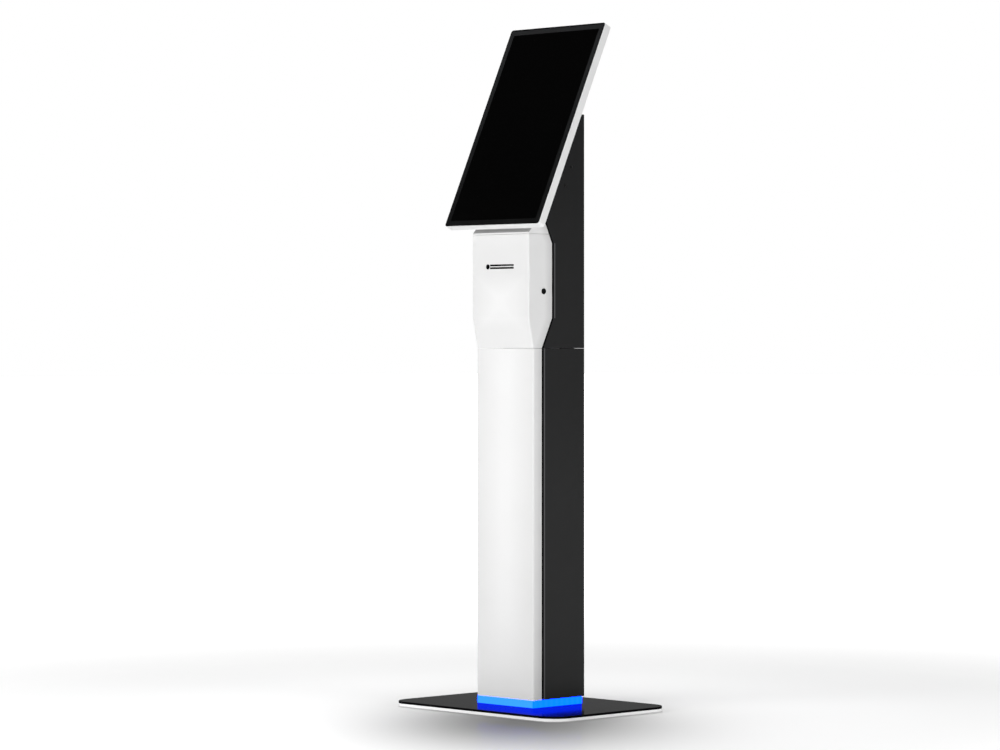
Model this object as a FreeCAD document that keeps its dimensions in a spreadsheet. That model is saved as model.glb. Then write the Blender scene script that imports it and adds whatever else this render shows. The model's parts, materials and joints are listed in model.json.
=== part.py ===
import FreeCAD, Part
import math
import os

import Sketcher

# A self-service kiosk: a heavy base, a slim column with a lit foot, a lockable
# printer head and a large portrait touch screen that leans back.
# Origin at the centre of the base on the floor, +Z up, the front faces -Y.

doc = FreeCAD.newDocument("kiosk")
sheet = doc.addObject("Spreadsheet::Sheet", "Sizes")

# Driving sizes, in millimetres and degrees.
# Depths called "_y" are measured back from the column's front face.
SIZES = {
    # Base
    "base_wide": 528, "base_deep": 368, "base_corner": 50, "setback": 107.5,
    "foot_thick": 2, "foot_round": 30, "foot_inset": 42,
    "plate_thick": 6, "cover_thick": 5, "base_ease": 0.8,
    # Column
    "column_wide": 180, "column_deep": 162, "skin": 1.5, "hull": 2, "fold": 2.5, "cover_fold": 3.5,
    "cheek_deep": 26.2, "shadow_gap": 4, "flange": 12, "rail_wide": 6,
    "seam_high": 809.5, "seam_gap": 0.6, "fit_gap": 0.3,
    # Lit band round the foot
    "band_high": 16.3, "band_wall": 4, "band_short": 7.5, "band_air": 8,
    "core_wall": 2, "tape_thick": 1.4, "tape_high": 10,
    # Welded frame
    "heel_wide": 140, "heel_deep": 124, "heel_thick": 6, "heel_y": 14.5,
    "spine_wide": 80, "spine_deep": 40, "spine_wall": 3, "spine_y": 98,
    "tray_thick": 2, "low_tray": 44, "mid_tray": 795, "top_tray": 1100,
    "lug_high": 18, "wire_way": 24,
    # Printer head, its door and its collar
    "head_out": 15, "head_back": 58.3, "taper": 67.5, "door_top": 1063,
    "notch_top": 1043, "door_lip": 14, "bevel": 8.5, "collar_lip": 3.5,
    "slot_high": 991.5, "slot_x": 5.5, "slot_wide": 75, "slot_tall": 9.4,
    "lip_tall": 2.8, "dot_x": -39.3, "dot_round": 11.5,
    # Door hinges and lock
    "pivot_out": 2.6, "hinge_tall": 36, "knuckle": 5, "hinge_pin": 2.6,
    "leaf": 1.2, "leaf_wide": 20, "low_hinge": 892, "high_hinge": 992,
    "lock_y": 32, "lock_round": 13, "barrel_round": 11, "plug_round": 8,
    "cam_long": 24, "cam_wide": 12, "cam_thick": 2, "cam_x": 75.5,
    # Upper body and screen
    "body_top": 1334, "lean": 25, "screen_out": 43.5, "screen_low": 1084.4,
    "glass_wide": 299, "glass_tall": 500, "glass_thick": 3, "glass_corner": 6,
    "rim": 0.8, "case_deep": 19, "case_wall": 3.8, "case_back": 2,
    "panel_thick": 10, "rear_gap": 2.3,
    "pod_wide": 148, "pod_low": 137, "pod_tall": 140, "pod_deep": 26,
    "carrier_low": 128, "carrier_tall": 144, "carrier_deep": 58, "carrier_ear": 80,
    "carrier_bolt_low": 140.5, "carrier_bolt_gap": 46.5, "carrier_bolt_y": 92.5,
    "vesa": 100,
    # Printer
    "cradle_wide": 149, "cradle_deep": 32, "cradle_y": 66,
    "shelf_high": 955, "shelf_wide": 104, "shelf_y": -6, "arm_y": 10, "arm_tall": 75,
    "printer_wide": 82, "printer_y": 7, "printer_deep": 63, "printer_tall": 36,
    "cutter_y": -9, "cutter_wide": 76, "cutter_tall": 46, "throat": 3.2,
    "platen_y": 20, "platen_round": 10, "platen_long": 58, "shaft_round": 4,
    "lid_low": 995, "lid_top": 1012, "lid_y": 9, "lid_deep": 63,
    "lid_pin_y": 64, "lid_pin_high": 999, "lid_pin_round": 3,
    "gear_x": 33.5, "gear_thick": 4, "tooth": 0.6, "mesh_gap": 0.15,
    "platen_teeth": 14, "idler_teeth": 22, "pinion_teeth": 12,
    "roll_round": 80, "roll_wide": 57.5, "roll_y": 45, "roll_high": 893,
    "roll_bore": 12.8, "spindle_round": 12,
    # Power
    "supply_wide": 98, "supply_deep": 38, "supply_tall": 159, "supply_low": 561,
    "inlet_x": 68, "inlet_high": 95, "inlet_wide": 27, "inlet_tall": 47,
}


class Size:
    """A length or angle that holds its number and its expression on the sheet."""

    def __init__(self, value, text):
        self.value = float(value)
        self.text = text

    def __add__(self, other):
        other = as_size(other)
        return Size(self.value + other.value, f"({self.text} + {other.text})")

    def __sub__(self, other):
        other = as_size(other)
        return Size(self.value - other.value, f"({self.text} - {other.text})")

    def __mul__(self, other):
        other = as_size(other)
        return Size(self.value * other.value, f"({self.text} * {other.text})")

    def __truediv__(self, other):
        other = as_size(other)
        return Size(self.value / other.value, f"({self.text} / {other.text})")

    def __radd__(self, other):
        return as_size(other) + self

    def __rsub__(self, other):
        return as_size(other) - self

    def __rmul__(self, other):
        return as_size(other) * self

    def __neg__(self):
        return as_size(0) - self


def as_size(number):
    return number if isinstance(number, Size) else Size(number, repr(float(number)))


def sine(angle):
    return Size(math.sin(math.radians(angle.value)), f"sin({angle.text})")


def cosine(angle):
    return Size(math.cos(math.radians(angle.value)), f"cos({angle.text})")


def fill_sheet():
    for row, (name, number) in enumerate(SIZES.items(), start=1):
        sheet.set(f"A{row}", name)
        sheet.set(f"B{row}", str(number))
        sheet.setAlias(f"B{row}", name)
    doc.recompute()


class Named:
    """Each size of the sheet by its name, such as s.base_wide."""

    def __getattr__(self, name):
        return Size(SIZES[name], f"Sizes.{name}")


s = Named()
fill_sheet()
nodes = []

# Heights and places that several pieces share.
front = s.setback - s.base_deep / 2
rear = front + s.column_deep
half = s.column_wide / 2
base_top = s.foot_thick + s.plate_thick + s.cover_thick
band_top = base_top + s.band_high
seam_low = s.seam_high - s.seam_gap / 2
seam_up = s.seam_high + s.seam_gap / 2
taper_top = s.seam_high + s.taper
body_y = s.cheek_deep + s.shadow_gap
step = s.head_back - s.cheek_deep
collar_low = s.door_top + s.seam_gap
screen_y = front - s.screen_out


def y_at(depth):
    """A depth behind the column's front face, as a place in Y."""
    return front + depth


def screen_plane_z(depth, gap):
    """Height at which a plane behind the screen case reaches a depth."""
    away = (s.case_deep + gap) / cosine(s.lean)
    return s.screen_low + (depth + s.screen_out - away) * cosine(s.lean) / sine(s.lean)


def screen_plane_y(height, gap):
    """Depth at which a plane behind the screen case reaches a height."""
    away = (s.case_deep + gap) / cosine(s.lean)
    return (height - s.screen_low) * sine(s.lean) / cosine(s.lean) - s.screen_out + away


# Building blocks: primitives, booleans and bodies, all bound to the sheet.

def bind(item, **sizes):
    for name, size in sizes.items():
        item.setExpression(name, as_size(size).text)


def put(item, x, y, z):
    for name, size in zip("xyz", (x, y, z)):
        item.setExpression(f".Placement.Base.{name}", as_size(size).text)


def lean_back(item):
    """Carry a piece drawn in the screen's own frame to its place on the kiosk."""
    place = f"vector(0; {screen_y.text}; {s.screen_low.text})"
    item.setExpression("Placement", f"placement({place}; rotation(vector(1;0;0); -{s.lean.text}))")
    return item


def node(label, item):
    item.Label = label
    nodes.append(item)
    return item


def box(name, x, y, z):
    """A block between two places on each axis, each given as (low, high)."""
    item = doc.addObject("Part::Box", name)
    bind(item, Length=x[1] - x[0], Width=y[1] - y[0], Height=z[1] - z[0])
    put(item, x[0], y[0], z[0])
    return item


def span(middle, wide):
    return (middle - wide / 2, middle + wide / 2)


TURNS = {
    "x": FreeCAD.Rotation(FreeCAD.Vector(0, 1, 0), 90),
    "y": FreeCAD.Rotation(FreeCAD.Vector(1, 0, 0), -90),
    "z": FreeCAD.Rotation(),
}


def rod(name, axis, across, start, long):
    """A round bar of a diameter that runs along an axis from its start."""
    item = doc.addObject("Part::Cylinder", name)
    bind(item, Radius=as_size(across) / 2, Height=long)
    item.Placement = FreeCAD.Placement(FreeCAD.Vector(), TURNS[axis])
    put(item, *start)
    return item


def cone(name, axis, across, far_across, start, long):
    item = doc.addObject("Part::Cone", name)
    bind(item, Radius1=as_size(across) / 2, Radius2=as_size(far_across) / 2, Height=long)
    item.Placement = FreeCAD.Placement(FreeCAD.Vector(), TURNS[axis])
    put(item, *start)
    return item


def join(name, *parts):
    item = doc.addObject("Part::MultiFuse", name)
    item.Shapes = list(parts)
    item.Refine = True
    return item


def cut(name, base, *tools):
    item = doc.addObject("Part::Cut", name)
    item.Base = base
    item.Tool = tools[0] if len(tools) == 1 else join(name + "_tools", *tools)
    item.Refine = True
    return item


def group(name, *parts):
    """Separate solids that share one node."""
    item = doc.addObject("Part::Compound", name)
    item.Links = list(parts)
    return item


def new_body(name):
    return doc.addObject("PartDesign::Body", name)


def outline(body, role, points, offset=0):
    """A closed sketch through points, each bound to the sheet, on a plane of its body."""
    sketch = body.newObject("Sketcher::SketchObject", "outline")
    plane = next(item for item in body.Origin.OriginFeatures if item.Role == role)
    sketch.AttachmentSupport = [(plane, "")]
    sketch.MapMode = "FlatFace"
    sketch.setExpression(".AttachmentOffset.Base.z", as_size(offset).text)
    corners = [(as_size(a), as_size(b)) for a, b in points]
    count = len(corners)
    for number in range(count):
        ends = [FreeCAD.Vector(a.value, b.value, 0)
                for a, b in (corners[number], corners[(number + 1) % count])]
        sketch.addGeometry(Part.LineSegment(*ends), False)
    for number in range(count):
        sketch.addConstraint(Sketcher.Constraint("Coincident", number, 2, (number + 1) % count, 1))
    for number, corner in enumerate(corners):
        for kind, size in zip(("DistanceX", "DistanceY"), corner):
            rule = Sketcher.Constraint(kind, -1, 1, number, 1, size.value)
            index = sketch.addConstraint(rule)
            sketch.setExpression(f"Constraints[{index}]", size.text)
    return sketch


def pad(body, sketch, long, middle=False):
    item = body.newObject("PartDesign::Pad", "pad")
    item.Profile = sketch
    item.SideType = "Symmetric" if middle else "One side"
    bind(item, Length=long)
    return item


def pocket(body, sketch, long, middle=False, reverse=False):
    item = body.newObject("PartDesign::Pocket", "pocket")
    item.Profile = sketch
    item.SideType = "Symmetric" if middle else "One side"
    item.Reversed = reverse
    bind(item, Length=long)
    return item


def edges_where(feature, test):
    """Names of a feature's edges whose two ends both pass a test."""
    doc.recompute()
    names = []
    for number, edge in enumerate(feature.Shape.Edges, start=1):
        ends = [vertex.Point for vertex in edge.Vertexes]
        if len(ends) == 2 and test(*ends):
            names.append(f"Edge{number}")
    return names


def is_upright(a, b):
    return abs(a.x - b.x) < 0.01 and abs(a.y - b.y) < 0.01


def round_over(body, feature, radius, test):
    item = body.newObject("PartDesign::Fillet", "fold")
    item.Base = (feature, edges_where(feature, test))
    bind(item, Radius=radius)
    return item


def ease(body, feature, size, test):
    item = body.newObject("PartDesign::Chamfer", "ease")
    item.Base = (feature, edges_where(feature, test))
    bind(item, Size=size)
    return item


def rectangle(x, y):
    return [(x[0], y[0]), (x[1], y[0]), (x[1], y[1]), (x[0], y[1])]


def slab(name, x, y, z, corner, eased=None):
    """A plate between places on each axis with round upright corners."""
    body = new_body(name)
    plate = pad(body, outline(body, "XY_Plane", rectangle(x, y), z[0]), z[1] - z[0])
    rounded = round_over(body, plate, corner, is_upright)
    if eased is not None:
        high = as_size(z[1]).value
        ease(body, rounded, eased, lambda a, b: abs(a.z - high) < 0.01 and abs(b.z - high) < 0.01)
    return body


# Base

def make_feet():
    x = s.base_wide / 2 - s.foot_inset
    y = s.base_deep / 2 - s.foot_inset
    feet = []
    for side in (-1, 0, 1):
        for end in (-1, 1):
            spot = (x * side, y * end, 0)
            feet.append(rod(f"foot_{side}_{end}", "z", s.foot_round, spot, s.foot_thick))
    node("rubber_feet", group("feet", *feet))


def base_screw_spots():
    """Where countersunk screws hold the top plate from below."""
    x = s.base_wide / 2 - s.base_corner
    y = s.base_deep / 2 - 24
    return [(x * side, y * end) for side in (-1, 0, 1) for end in (-1, 1)]


def heel_bolt_spots():
    x = s.heel_wide / 2 - 12
    low = y_at(s.heel_y) + 12
    high = y_at(s.heel_y + s.heel_deep) - 12
    return [(x * side, y) for side in (-1, 1) for y in (low, high)]


def make_base():
    x = span(as_size(0), s.base_wide)
    y = span(as_size(0), s.base_deep)
    split = s.foot_thick + s.plate_thick
    plate = slab("base_plate_blank", x, y, (s.foot_thick, split), s.base_corner)
    holes = []
    for number, (a, b) in enumerate(base_screw_spots()):
        holes.append(rod(f"screw_way_{number}", "z", 4.5, (a, b, 0), split + 1))
        holes.append(cone(f"screw_sink_{number}", "z", 9.8, 4.8, (a, b, s.foot_thick), 2.5))
    for number, (a, b) in enumerate(heel_bolt_spots()):
        holes.append(rod(f"bolt_way_{number}", "z", 8, (a, b, 0), split + 1))
    node("base_plate", cut("base_plate_cut", plate, *holes))
    cover = slab("base_cover_blank", x, y, (split, base_top), s.base_corner, s.base_ease)
    holes = []
    for number, (a, b) in enumerate(base_screw_spots()):
        holes.append(rod(f"screw_hole_{number}", "z", 4, (a, b, split - 1), 4.5))
    for number, (a, b) in enumerate(heel_bolt_spots()):
        holes.append(rod(f"bolt_hole_{number}", "z", 8.6, (a, b, split - 1), s.cover_thick + 2))
    node("base_cover", cut("base_cover_cut", cover, *holes))
    screws = []
    for number, (a, b) in enumerate(base_screw_spots()):
        head = cone(f"screw_head_{number}", "z", 9, 4, (a, b, s.foot_thick + 0.2), 2.5)
        shank = rod(f"screw_shank_{number}", "z", 3.8, (a, b, s.foot_thick + 1), 8)
        screws.append(join(f"screw_{number}", head, shank))
    node("base_screws", group("base_screw_set", *screws))


# Lit band round the foot

def ring(name, inset, wall, z):
    """An upright rectangular ring, inset from the outside of the lit band."""
    y = (front + inset, rear - s.band_short - inset)
    x = (inset - half, half - inset)
    body = new_body(name)
    block = pad(body, outline(body, "XY_Plane", rectangle(x, y), z[0]), z[1] - z[0])
    round_over(body, block, 2.5, is_upright)
    inside = rectangle((x[0] + wall, x[1] - wall), (y[0] + wall, y[1] - wall))
    pocket(body, outline(body, "XY_Plane", inside, z[1] + 1), z[1] - z[0] + 2)
    return body


def make_band():
    tall = (base_top, band_top)
    node("light_diffuser", ring("diffuser_ring", as_size(0), s.band_wall, tall))
    core_in = s.band_wall + s.band_air
    node("band_core", ring("core_ring", core_in, s.core_wall, tall))
    low = base_top + (s.band_high - s.tape_high) / 2
    tape = ring("tape_ring", core_in - s.tape_thick, s.tape_thick, (low, low + s.tape_high))
    node("led_tape", tape)


# Welded frame: heel plate, upright tube and three trays in one weldment

def tray(name, low, front_y, way_x):
    """A shelf that backs the body and the cover, with a lug for the rear screws."""
    wide = s.hull + s.fit_gap
    z = (low, low + s.tray_thick)
    main = box(name, (wide - half, half - wide), (y_at(body_y + 8), rear - wide), z)
    nose = box(name + "_nose", (s.flange + 0.5 - half, half - s.flange - 0.5),
               (y_at(front_y), y_at(body_y + 8)), z)
    lug = box(name + "_lug", (as_size(-60), as_size(60)), (rear - wide - 2, rear - wide),
              (low, low + s.lug_high))
    ways = [box(f"{name}_way_{side}", span(way_x * side, s.wire_way), span(y_at(s.spine_y + 20), s.wire_way),
                (low - 1, low + s.tray_thick + 1)) for side in (-1, 1)]
    front_way = box(name + "_front_way", span(as_size(0), as_size(110)), (y_at(40), y_at(s.spine_y - 6)),
                    (low - 1, low + s.tray_thick + 1))
    return cut(name + "_cut", join(name + "_plates", main, nose, lug), front_way, *ways)


def make_frame():
    heel = box("heel", span(as_size(0), s.heel_wide),
               (y_at(s.heel_y), y_at(s.heel_y + s.heel_deep)), (base_top, base_top + s.heel_thick))
    spine_x = span(as_size(0), s.spine_wide)
    spine_y = (y_at(s.spine_y), y_at(s.spine_y + s.spine_deep))
    spine_top = s.top_tray + s.tray_thick
    wall = s.spine_wall
    spine = box("spine", spine_x, spine_y, (base_top + s.heel_thick, spine_top))
    bore = box("spine_bore", (spine_x[0] + wall, spine_x[1] - wall), (spine_y[0] + wall, spine_y[1] - wall),
               (base_top - 1, spine_top + 1))
    way_x = s.spine_wide / 2 + s.wire_way / 2 + 6
    trays = [tray("low_tray", s.low_tray, s.skin + s.fit_gap, way_x),
             tray("mid_tray", s.mid_tray, s.skin + s.fit_gap, way_x),
             tray("top_tray", s.top_tray, s.bevel - s.head_out + s.skin, way_x)]
    bolt_holes = [rod(f"heel_hole_{number}", "z", 9, (a, b, base_top - 1), s.heel_thick + 2)
                  for number, (a, b) in enumerate(heel_bolt_spots())]
    lug_holes = [rod(f"lug_hole_{number}", "y", 4.2, (x, rear - 8, z), 8)
                 for number, (x, z) in enumerate(rear_screw_spots())]
    frame = cut("frame_cut", join("frame_parts", heel, spine, *trays), bore, *bolt_holes, *lug_holes)
    node("column_frame", frame)
    bolts = []
    for number, (a, b) in enumerate(heel_bolt_spots()):
        top = base_top + s.heel_thick
        head = rod(f"bolt_head_{number}", "z", 13, (a, b, top), 5)
        socket = rod(f"bolt_socket_{number}", "z", 6, (a, b, top + 2), 4)
        shank = rod(f"bolt_shank_{number}", "z", 7.8, (a, b, s.foot_thick + 0.5), top - s.foot_thick)
        bolts.append(cut(f"bolt_{number}", join(f"bolt_blank_{number}", head, shank), socket))
    node("heel_bolts", group("heel_bolt_set", *bolts))


def rear_screw_spots():
    return [(as_size(x), tray_z + s.tray_thick + s.lug_high / 2 - 1)
            for tray_z in (s.low_tray, s.mid_tray, s.top_tray) for x in (-48, 48)]


def make_rear_screws():
    screws = []
    for number, (x, z) in enumerate(rear_screw_spots()):
        head = rod(f"rear_head_{number}", "y", 7.6, (x, rear, z), 1.8)
        shank = rod(f"rear_shank_{number}", "y", 3.8, (x, rear - 7, z), 8)
        screws.append(join(f"rear_screw_{number}", head, shank))
    node("rear_screws", group("rear_screw_set", *screws))


# Dark rear body in two lengths, split at the seam

def make_lower_body():
    body = new_body("lower_body_shell")
    z = (band_top, seam_low)
    y = (y_at(body_y), rear)
    tall = z[1] - z[0]
    block = pad(body, outline(body, "XY_Plane", rectangle((-half, half), y), z[0]), tall)
    round_over(body, block, s.fold, is_upright)
    inner = half - s.hull
    hollow = rectangle((-inner, inner), (y[0] + s.hull, y[1] - s.hull))
    pocket(body, outline(body, "XY_Plane", hollow, z[1] + 1), tall + 2)
    mouth = half - s.flange
    opening = rectangle((-mouth, mouth), (y[0] - 5, y[0] + s.hull + 5))
    pocket(body, outline(body, "XY_Plane", opening, z[1] + 1), tall + 2)
    cut_out = box("inlet_cut_out", span(s.inlet_x, s.inlet_wide + 0.6), (rear - 5, rear + 5),
                  span(s.inlet_high, s.inlet_tall + 0.6))
    holes = rear_holes("lower", rear_screw_spots()[:4])
    node("lower_body", cut("lower_body_cut", body, cut_out, *holes))


def rear_holes(name, spots):
    return [rod(f"{name}_rear_hole_{number}", "y", 4.2, (x, rear - 5, z), 10)
            for number, (x, z) in enumerate(spots)]


def notch_points(edge, low):
    """The stepped front edge of the upper body, from its foot to the screen."""
    bend = as_size(edge) + step
    return [(y_at(edge), low), (y_at(bend), taper_top), (y_at(bend), s.notch_top),
            (y_at(edge), s.notch_top + s.taper)]


def make_upper_body():
    body = new_body("upper_body_shell")
    edge = body_y
    top_y = screen_plane_y(s.body_top, s.rear_gap)
    shoulder = screen_plane_z(edge, s.rear_gap)
    profile = notch_points(edge, seam_up)
    profile += [(y_at(edge), shoulder), (y_at(top_y), s.body_top), (rear, s.body_top), (rear, seam_up)]
    block = pad(body, outline(body, "YZ_Plane", profile), s.column_wide, middle=True)
    rear_at = rear.value

    edge_top = y_at(edge + step).value + 0.01
    shoulder_at = shoulder.value + 0.01

    def folded(a, b):
        """The rear corners and the stepped front edges, up to the screen."""
        if abs(a.x - b.x) > 0.01:
            return False
        at_rear = is_upright(a, b) and a.y > rear_at - 0.01
        at_front = max(a.y, b.y) < edge_top and max(a.z, b.z) < shoulder_at
        return at_rear or at_front

    round_over(body, block, s.fold, folded)
    inner_top = s.body_top - s.hull
    inner_top_y = screen_plane_y(inner_top, s.rear_gap)
    hollow = notch_points(edge + s.hull, seam_up)
    hollow += [(y_at(edge + s.hull), shoulder), (y_at(inner_top_y + s.hull), inner_top),
               (rear - s.hull, inner_top), (rear - s.hull, seam_up - 1), (y_at(edge + s.hull), seam_up - 1)]
    pocket(body, outline(body, "YZ_Plane", hollow), (half - s.hull) * 2, middle=True)
    mouth = [(y_at(edge - 20), seam_up - 1), (y_at(edge - 20), shoulder), (y_at(inner_top_y - 25), inner_top),
             (y_at(inner_top_y + 20), inner_top), (y_at(edge + step + 20), s.notch_top),
             (y_at(edge + step + 20), seam_up - 1)]
    pocket(body, outline(body, "YZ_Plane", mouth), (half - s.flange) * 2, middle=True)
    vents = []
    for row in range(8):
        for side in (-1, 1):
            z = s.body_top - 60 - row * 9
            vents.append(box(f"vent_{row}_{side}", span(as_size(36 * side), as_size(52)),
                             (rear - 5, rear + 5), span(z, as_size(4))))
    holes = rear_holes("upper", rear_screw_spots()[4:])
    side_holes = []
    for number, (y, z) in enumerate(carrier_bolt_spots()):
        side_holes.append(rod(f"side_hole_{number}", "x", 4.4, (-half - 1, y, z), s.column_wide + 2))
    node("upper_body", cut("upper_body_cut", body, *vents, *holes, *side_holes))


def carrier_bolt_spots():
    """Where the side screws meet the walls, carried over from the leaning screen."""
    spots = []
    for up in (s.carrier_bolt_low, s.carrier_bolt_low + s.carrier_bolt_gap):
        y = screen_y + s.carrier_bolt_y * cosine(s.lean) + up * sine(s.lean)
        z = s.screen_low - s.carrier_bolt_y * sine(s.lean) + up * cosine(s.lean)
        spots.append((y, z))
    return spots


def make_shadow_strips():
    """Spacers in the dark gap between the white covers and the dark body."""
    x = (half - s.rail_wide - 4, half - 4)
    z = (band_top + 2, seam_low)
    y = (y_at(s.cheek_deep), y_at(body_y))
    low = group("low_strip_set", box("strip_right", x, y, z), box("strip_left", (-x[1], -x[0]), y, z))
    node("column_spacers", low)
    sides = []
    for name, offset in (("right", x[0]), ("left", -x[1])):
        body = new_body("head_strip_" + name)
        top = screen_plane_z(s.cheek_deep, s.rear_gap) - 4
        ahead = notch_points(s.cheek_deep + s.fit_gap, seam_up + 2)
        behind = notch_points(body_y, seam_up + 2)
        profile = ahead + [(y_at(s.cheek_deep + s.fit_gap), top), (y_at(body_y), top)] + behind[::-1]
        pad(body, outline(body, "YZ_Plane", profile, offset), s.rail_wide)
        sides.append(body)
    node("head_spacers", group("head_strip_set", *sides))


# White covers: column front, head door and collar

def make_lower_cover():
    body = new_body("lower_cover_shell")
    z = (band_top, seam_low)
    tall = z[1] - z[0]
    y = (front, y_at(s.cheek_deep))
    block = pad(body, outline(body, "XY_Plane", rectangle((-half, half), y), z[0]), tall)
    front_at = front.value

    def front_upright(a, b):
        return is_upright(a, b) and a.y < front_at + 0.01

    round_over(body, block, s.cover_fold, front_upright)
    inner = half - s.skin
    hollow = rectangle((-inner, inner), (y[0] + s.skin, y[1] - s.skin))
    pocket(body, outline(body, "XY_Plane", hollow, z[1] - s.skin), tall)
    mouth = inner - 10
    opening = rectangle((-mouth, mouth), (y[0] + s.skin + 8, y[1] + 5))
    pocket(body, outline(body, "XY_Plane", opening, z[1] + 1), tall + 2)
    body.Label = "lower_cover"
    nodes.append(body)


def make_cover_clips():
    """Bent spring clips on the trays that grip the front cover's returns."""
    clips = []
    for number, low in enumerate((s.low_tray, s.mid_tray)):
        for side in (-1, 1):
            name = f"clip_{number}_{side}"
            x = span((half - s.skin - 14) * side, as_size(7))
            foot = box(name + "_foot", x, (y_at(6), y_at(s.cheek_deep - s.skin - 2)), (low - 1.2, low))
            tongue = box(name + "_tongue", x, (y_at(6), y_at(7.2)), (low - 18, low))
            clips.append(join(name, foot, tongue))
    node("cover_clips", group("clip_set", *clips))


def door_back_y(height):
    """Depth of the door's and collar's rear edge on the upper slant."""
    return s.head_back - (height - s.notch_top) * step / s.taper


def make_door():
    body = new_body("door_shell")
    nose = y_at(-s.head_out)
    profile = [(front, seam_up), (nose, taper_top), (nose, s.door_top),
               (y_at(door_back_y(s.door_top)), s.door_top), (y_at(s.head_back), s.notch_top),
               (y_at(s.head_back), taper_top), (y_at(s.cheek_deep), seam_up)]
    block = pad(body, outline(body, "YZ_Plane", profile), s.column_wide, middle=True)
    front_at = front.value

    def front_fold(a, b):
        same_side = abs(a.x - b.x) < 0.01
        return same_side and abs(a.z - b.z) > 1 and a.y < front_at + 0.01 and b.y < front_at + 0.01

    round_over(body, block, s.cover_fold, front_fold)
    back = y_at(s.head_back + 20)
    hollow = [(front + s.skin, seam_up + s.skin), (nose + s.skin, taper_top),
              (nose + s.skin, s.door_top - s.skin), (back, s.door_top - s.skin), (back, seam_up + s.skin)]
    pocket(body, outline(body, "YZ_Plane", hollow), (half - s.skin) * 2, middle=True)
    inner = half - s.skin - s.door_lip
    tools = [
        box("door_top_way", (-inner, inner), (nose + s.skin + s.door_lip, back), (s.door_top - 4, s.door_top + 1)),
        box("door_low_way", (-inner, inner), (front + s.skin + s.door_lip, back), (seam_up - 1, seam_up + 4)),
        box("upper_slot", span(s.slot_x, s.slot_wide), (nose - 1, nose + 3),
            (s.slot_high + s.lip_tall / 2, s.slot_high + s.slot_tall / 2)),
        box("lower_slot", span(s.slot_x, s.slot_wide), (nose - 1, nose + 3),
            (s.slot_high - s.slot_tall / 2, s.slot_high - s.lip_tall / 2)),
        rod("dot_way", "y", s.dot_round + 0.3, (s.dot_x, nose - 1, s.slot_high), 4),
        rod("lock_way", "x", s.barrel_round + 0.3, (half - 4, y_at(s.lock_y), lock_high()), 8),
    ]
    node("door", cut("door_cut", body, *tools))


def lock_high():
    return (s.seam_high + s.door_top) / 2


def make_collar():
    body = new_body("collar_shell")
    nose = y_at(-s.head_out)
    bevel_low = collar_low + s.collar_lip
    bevel_y = y_at(s.bevel - s.head_out)
    bevel_top = bevel_low + s.bevel
    wall_top = screen_plane_z(s.bevel - s.head_out, s.rear_gap)
    cheek_top = screen_plane_z(s.cheek_deep, s.rear_gap)
    profile = [(nose, collar_low), (nose, bevel_low), (bevel_y, bevel_top), (bevel_y, wall_top),
               (y_at(s.cheek_deep), cheek_top), (y_at(s.cheek_deep), s.notch_top + s.taper),
               (y_at(door_back_y(collar_low)), collar_low)]
    block = pad(body, outline(body, "YZ_Plane", profile), s.column_wide, middle=True)
    bevel_at = bevel_y.value

    def front_fold(a, b):
        same_side = abs(a.x - b.x) < 0.01
        return same_side and abs(a.z - b.z) > 1 and a.y < bevel_at + 0.01 and b.y < bevel_at + 0.01

    round_over(body, block, s.cover_fold, front_fold)
    back = y_at(s.head_back + 20)
    hollow = [(nose + s.skin, collar_low + s.skin), (nose + s.skin, bevel_low),
              (bevel_y + s.skin, bevel_top), (bevel_y + s.skin, cheek_top + 20), (back, cheek_top + 20),
              (back, collar_low + s.skin)]
    pocket(body, outline(body, "YZ_Plane", hollow), (half - s.skin) * 2, middle=True)
    inner = half - s.skin - s.door_lip
    way = box("collar_way", (-inner, inner), (nose + s.skin + s.door_lip, back),
              (collar_low - 1, collar_low + 4))
    node("collar", cut("collar_cut", body, way))


# Door furniture: outlet, status light, hinges and lock

def make_outlet():
    inside = y_at(s.skin - s.head_out)
    x = (s.slot_x - s.slot_wide / 2, s.slot_x + s.slot_wide / 2 + 3)
    block = box("guide_block", x, (inside, inside + 3), span(s.slot_high, s.slot_tall + 5))
    slit = box("guide_slit", span(s.slot_x, s.slot_wide - 1.6), (inside - 1, inside + 4),
               span(paper_high(), s.throat - 0.4))
    node("outlet_guide", cut("guide_cut", block, slit))
    spot = (s.dot_x, y_at(-s.head_out), s.slot_high)
    lens = rod("light_lens", "y", s.dot_round, spot, s.skin + 4)
    skirt = rod("light_skirt", "y", s.dot_round + 2, (s.dot_x, inside, s.slot_high), 1.2)
    node("status_light", join("light_parts", lens, skirt))


def paper_high():
    """The paper leaves through the upper of the two gaps."""
    return s.slot_high + (s.slot_tall + s.lip_tall) / 4


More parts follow.
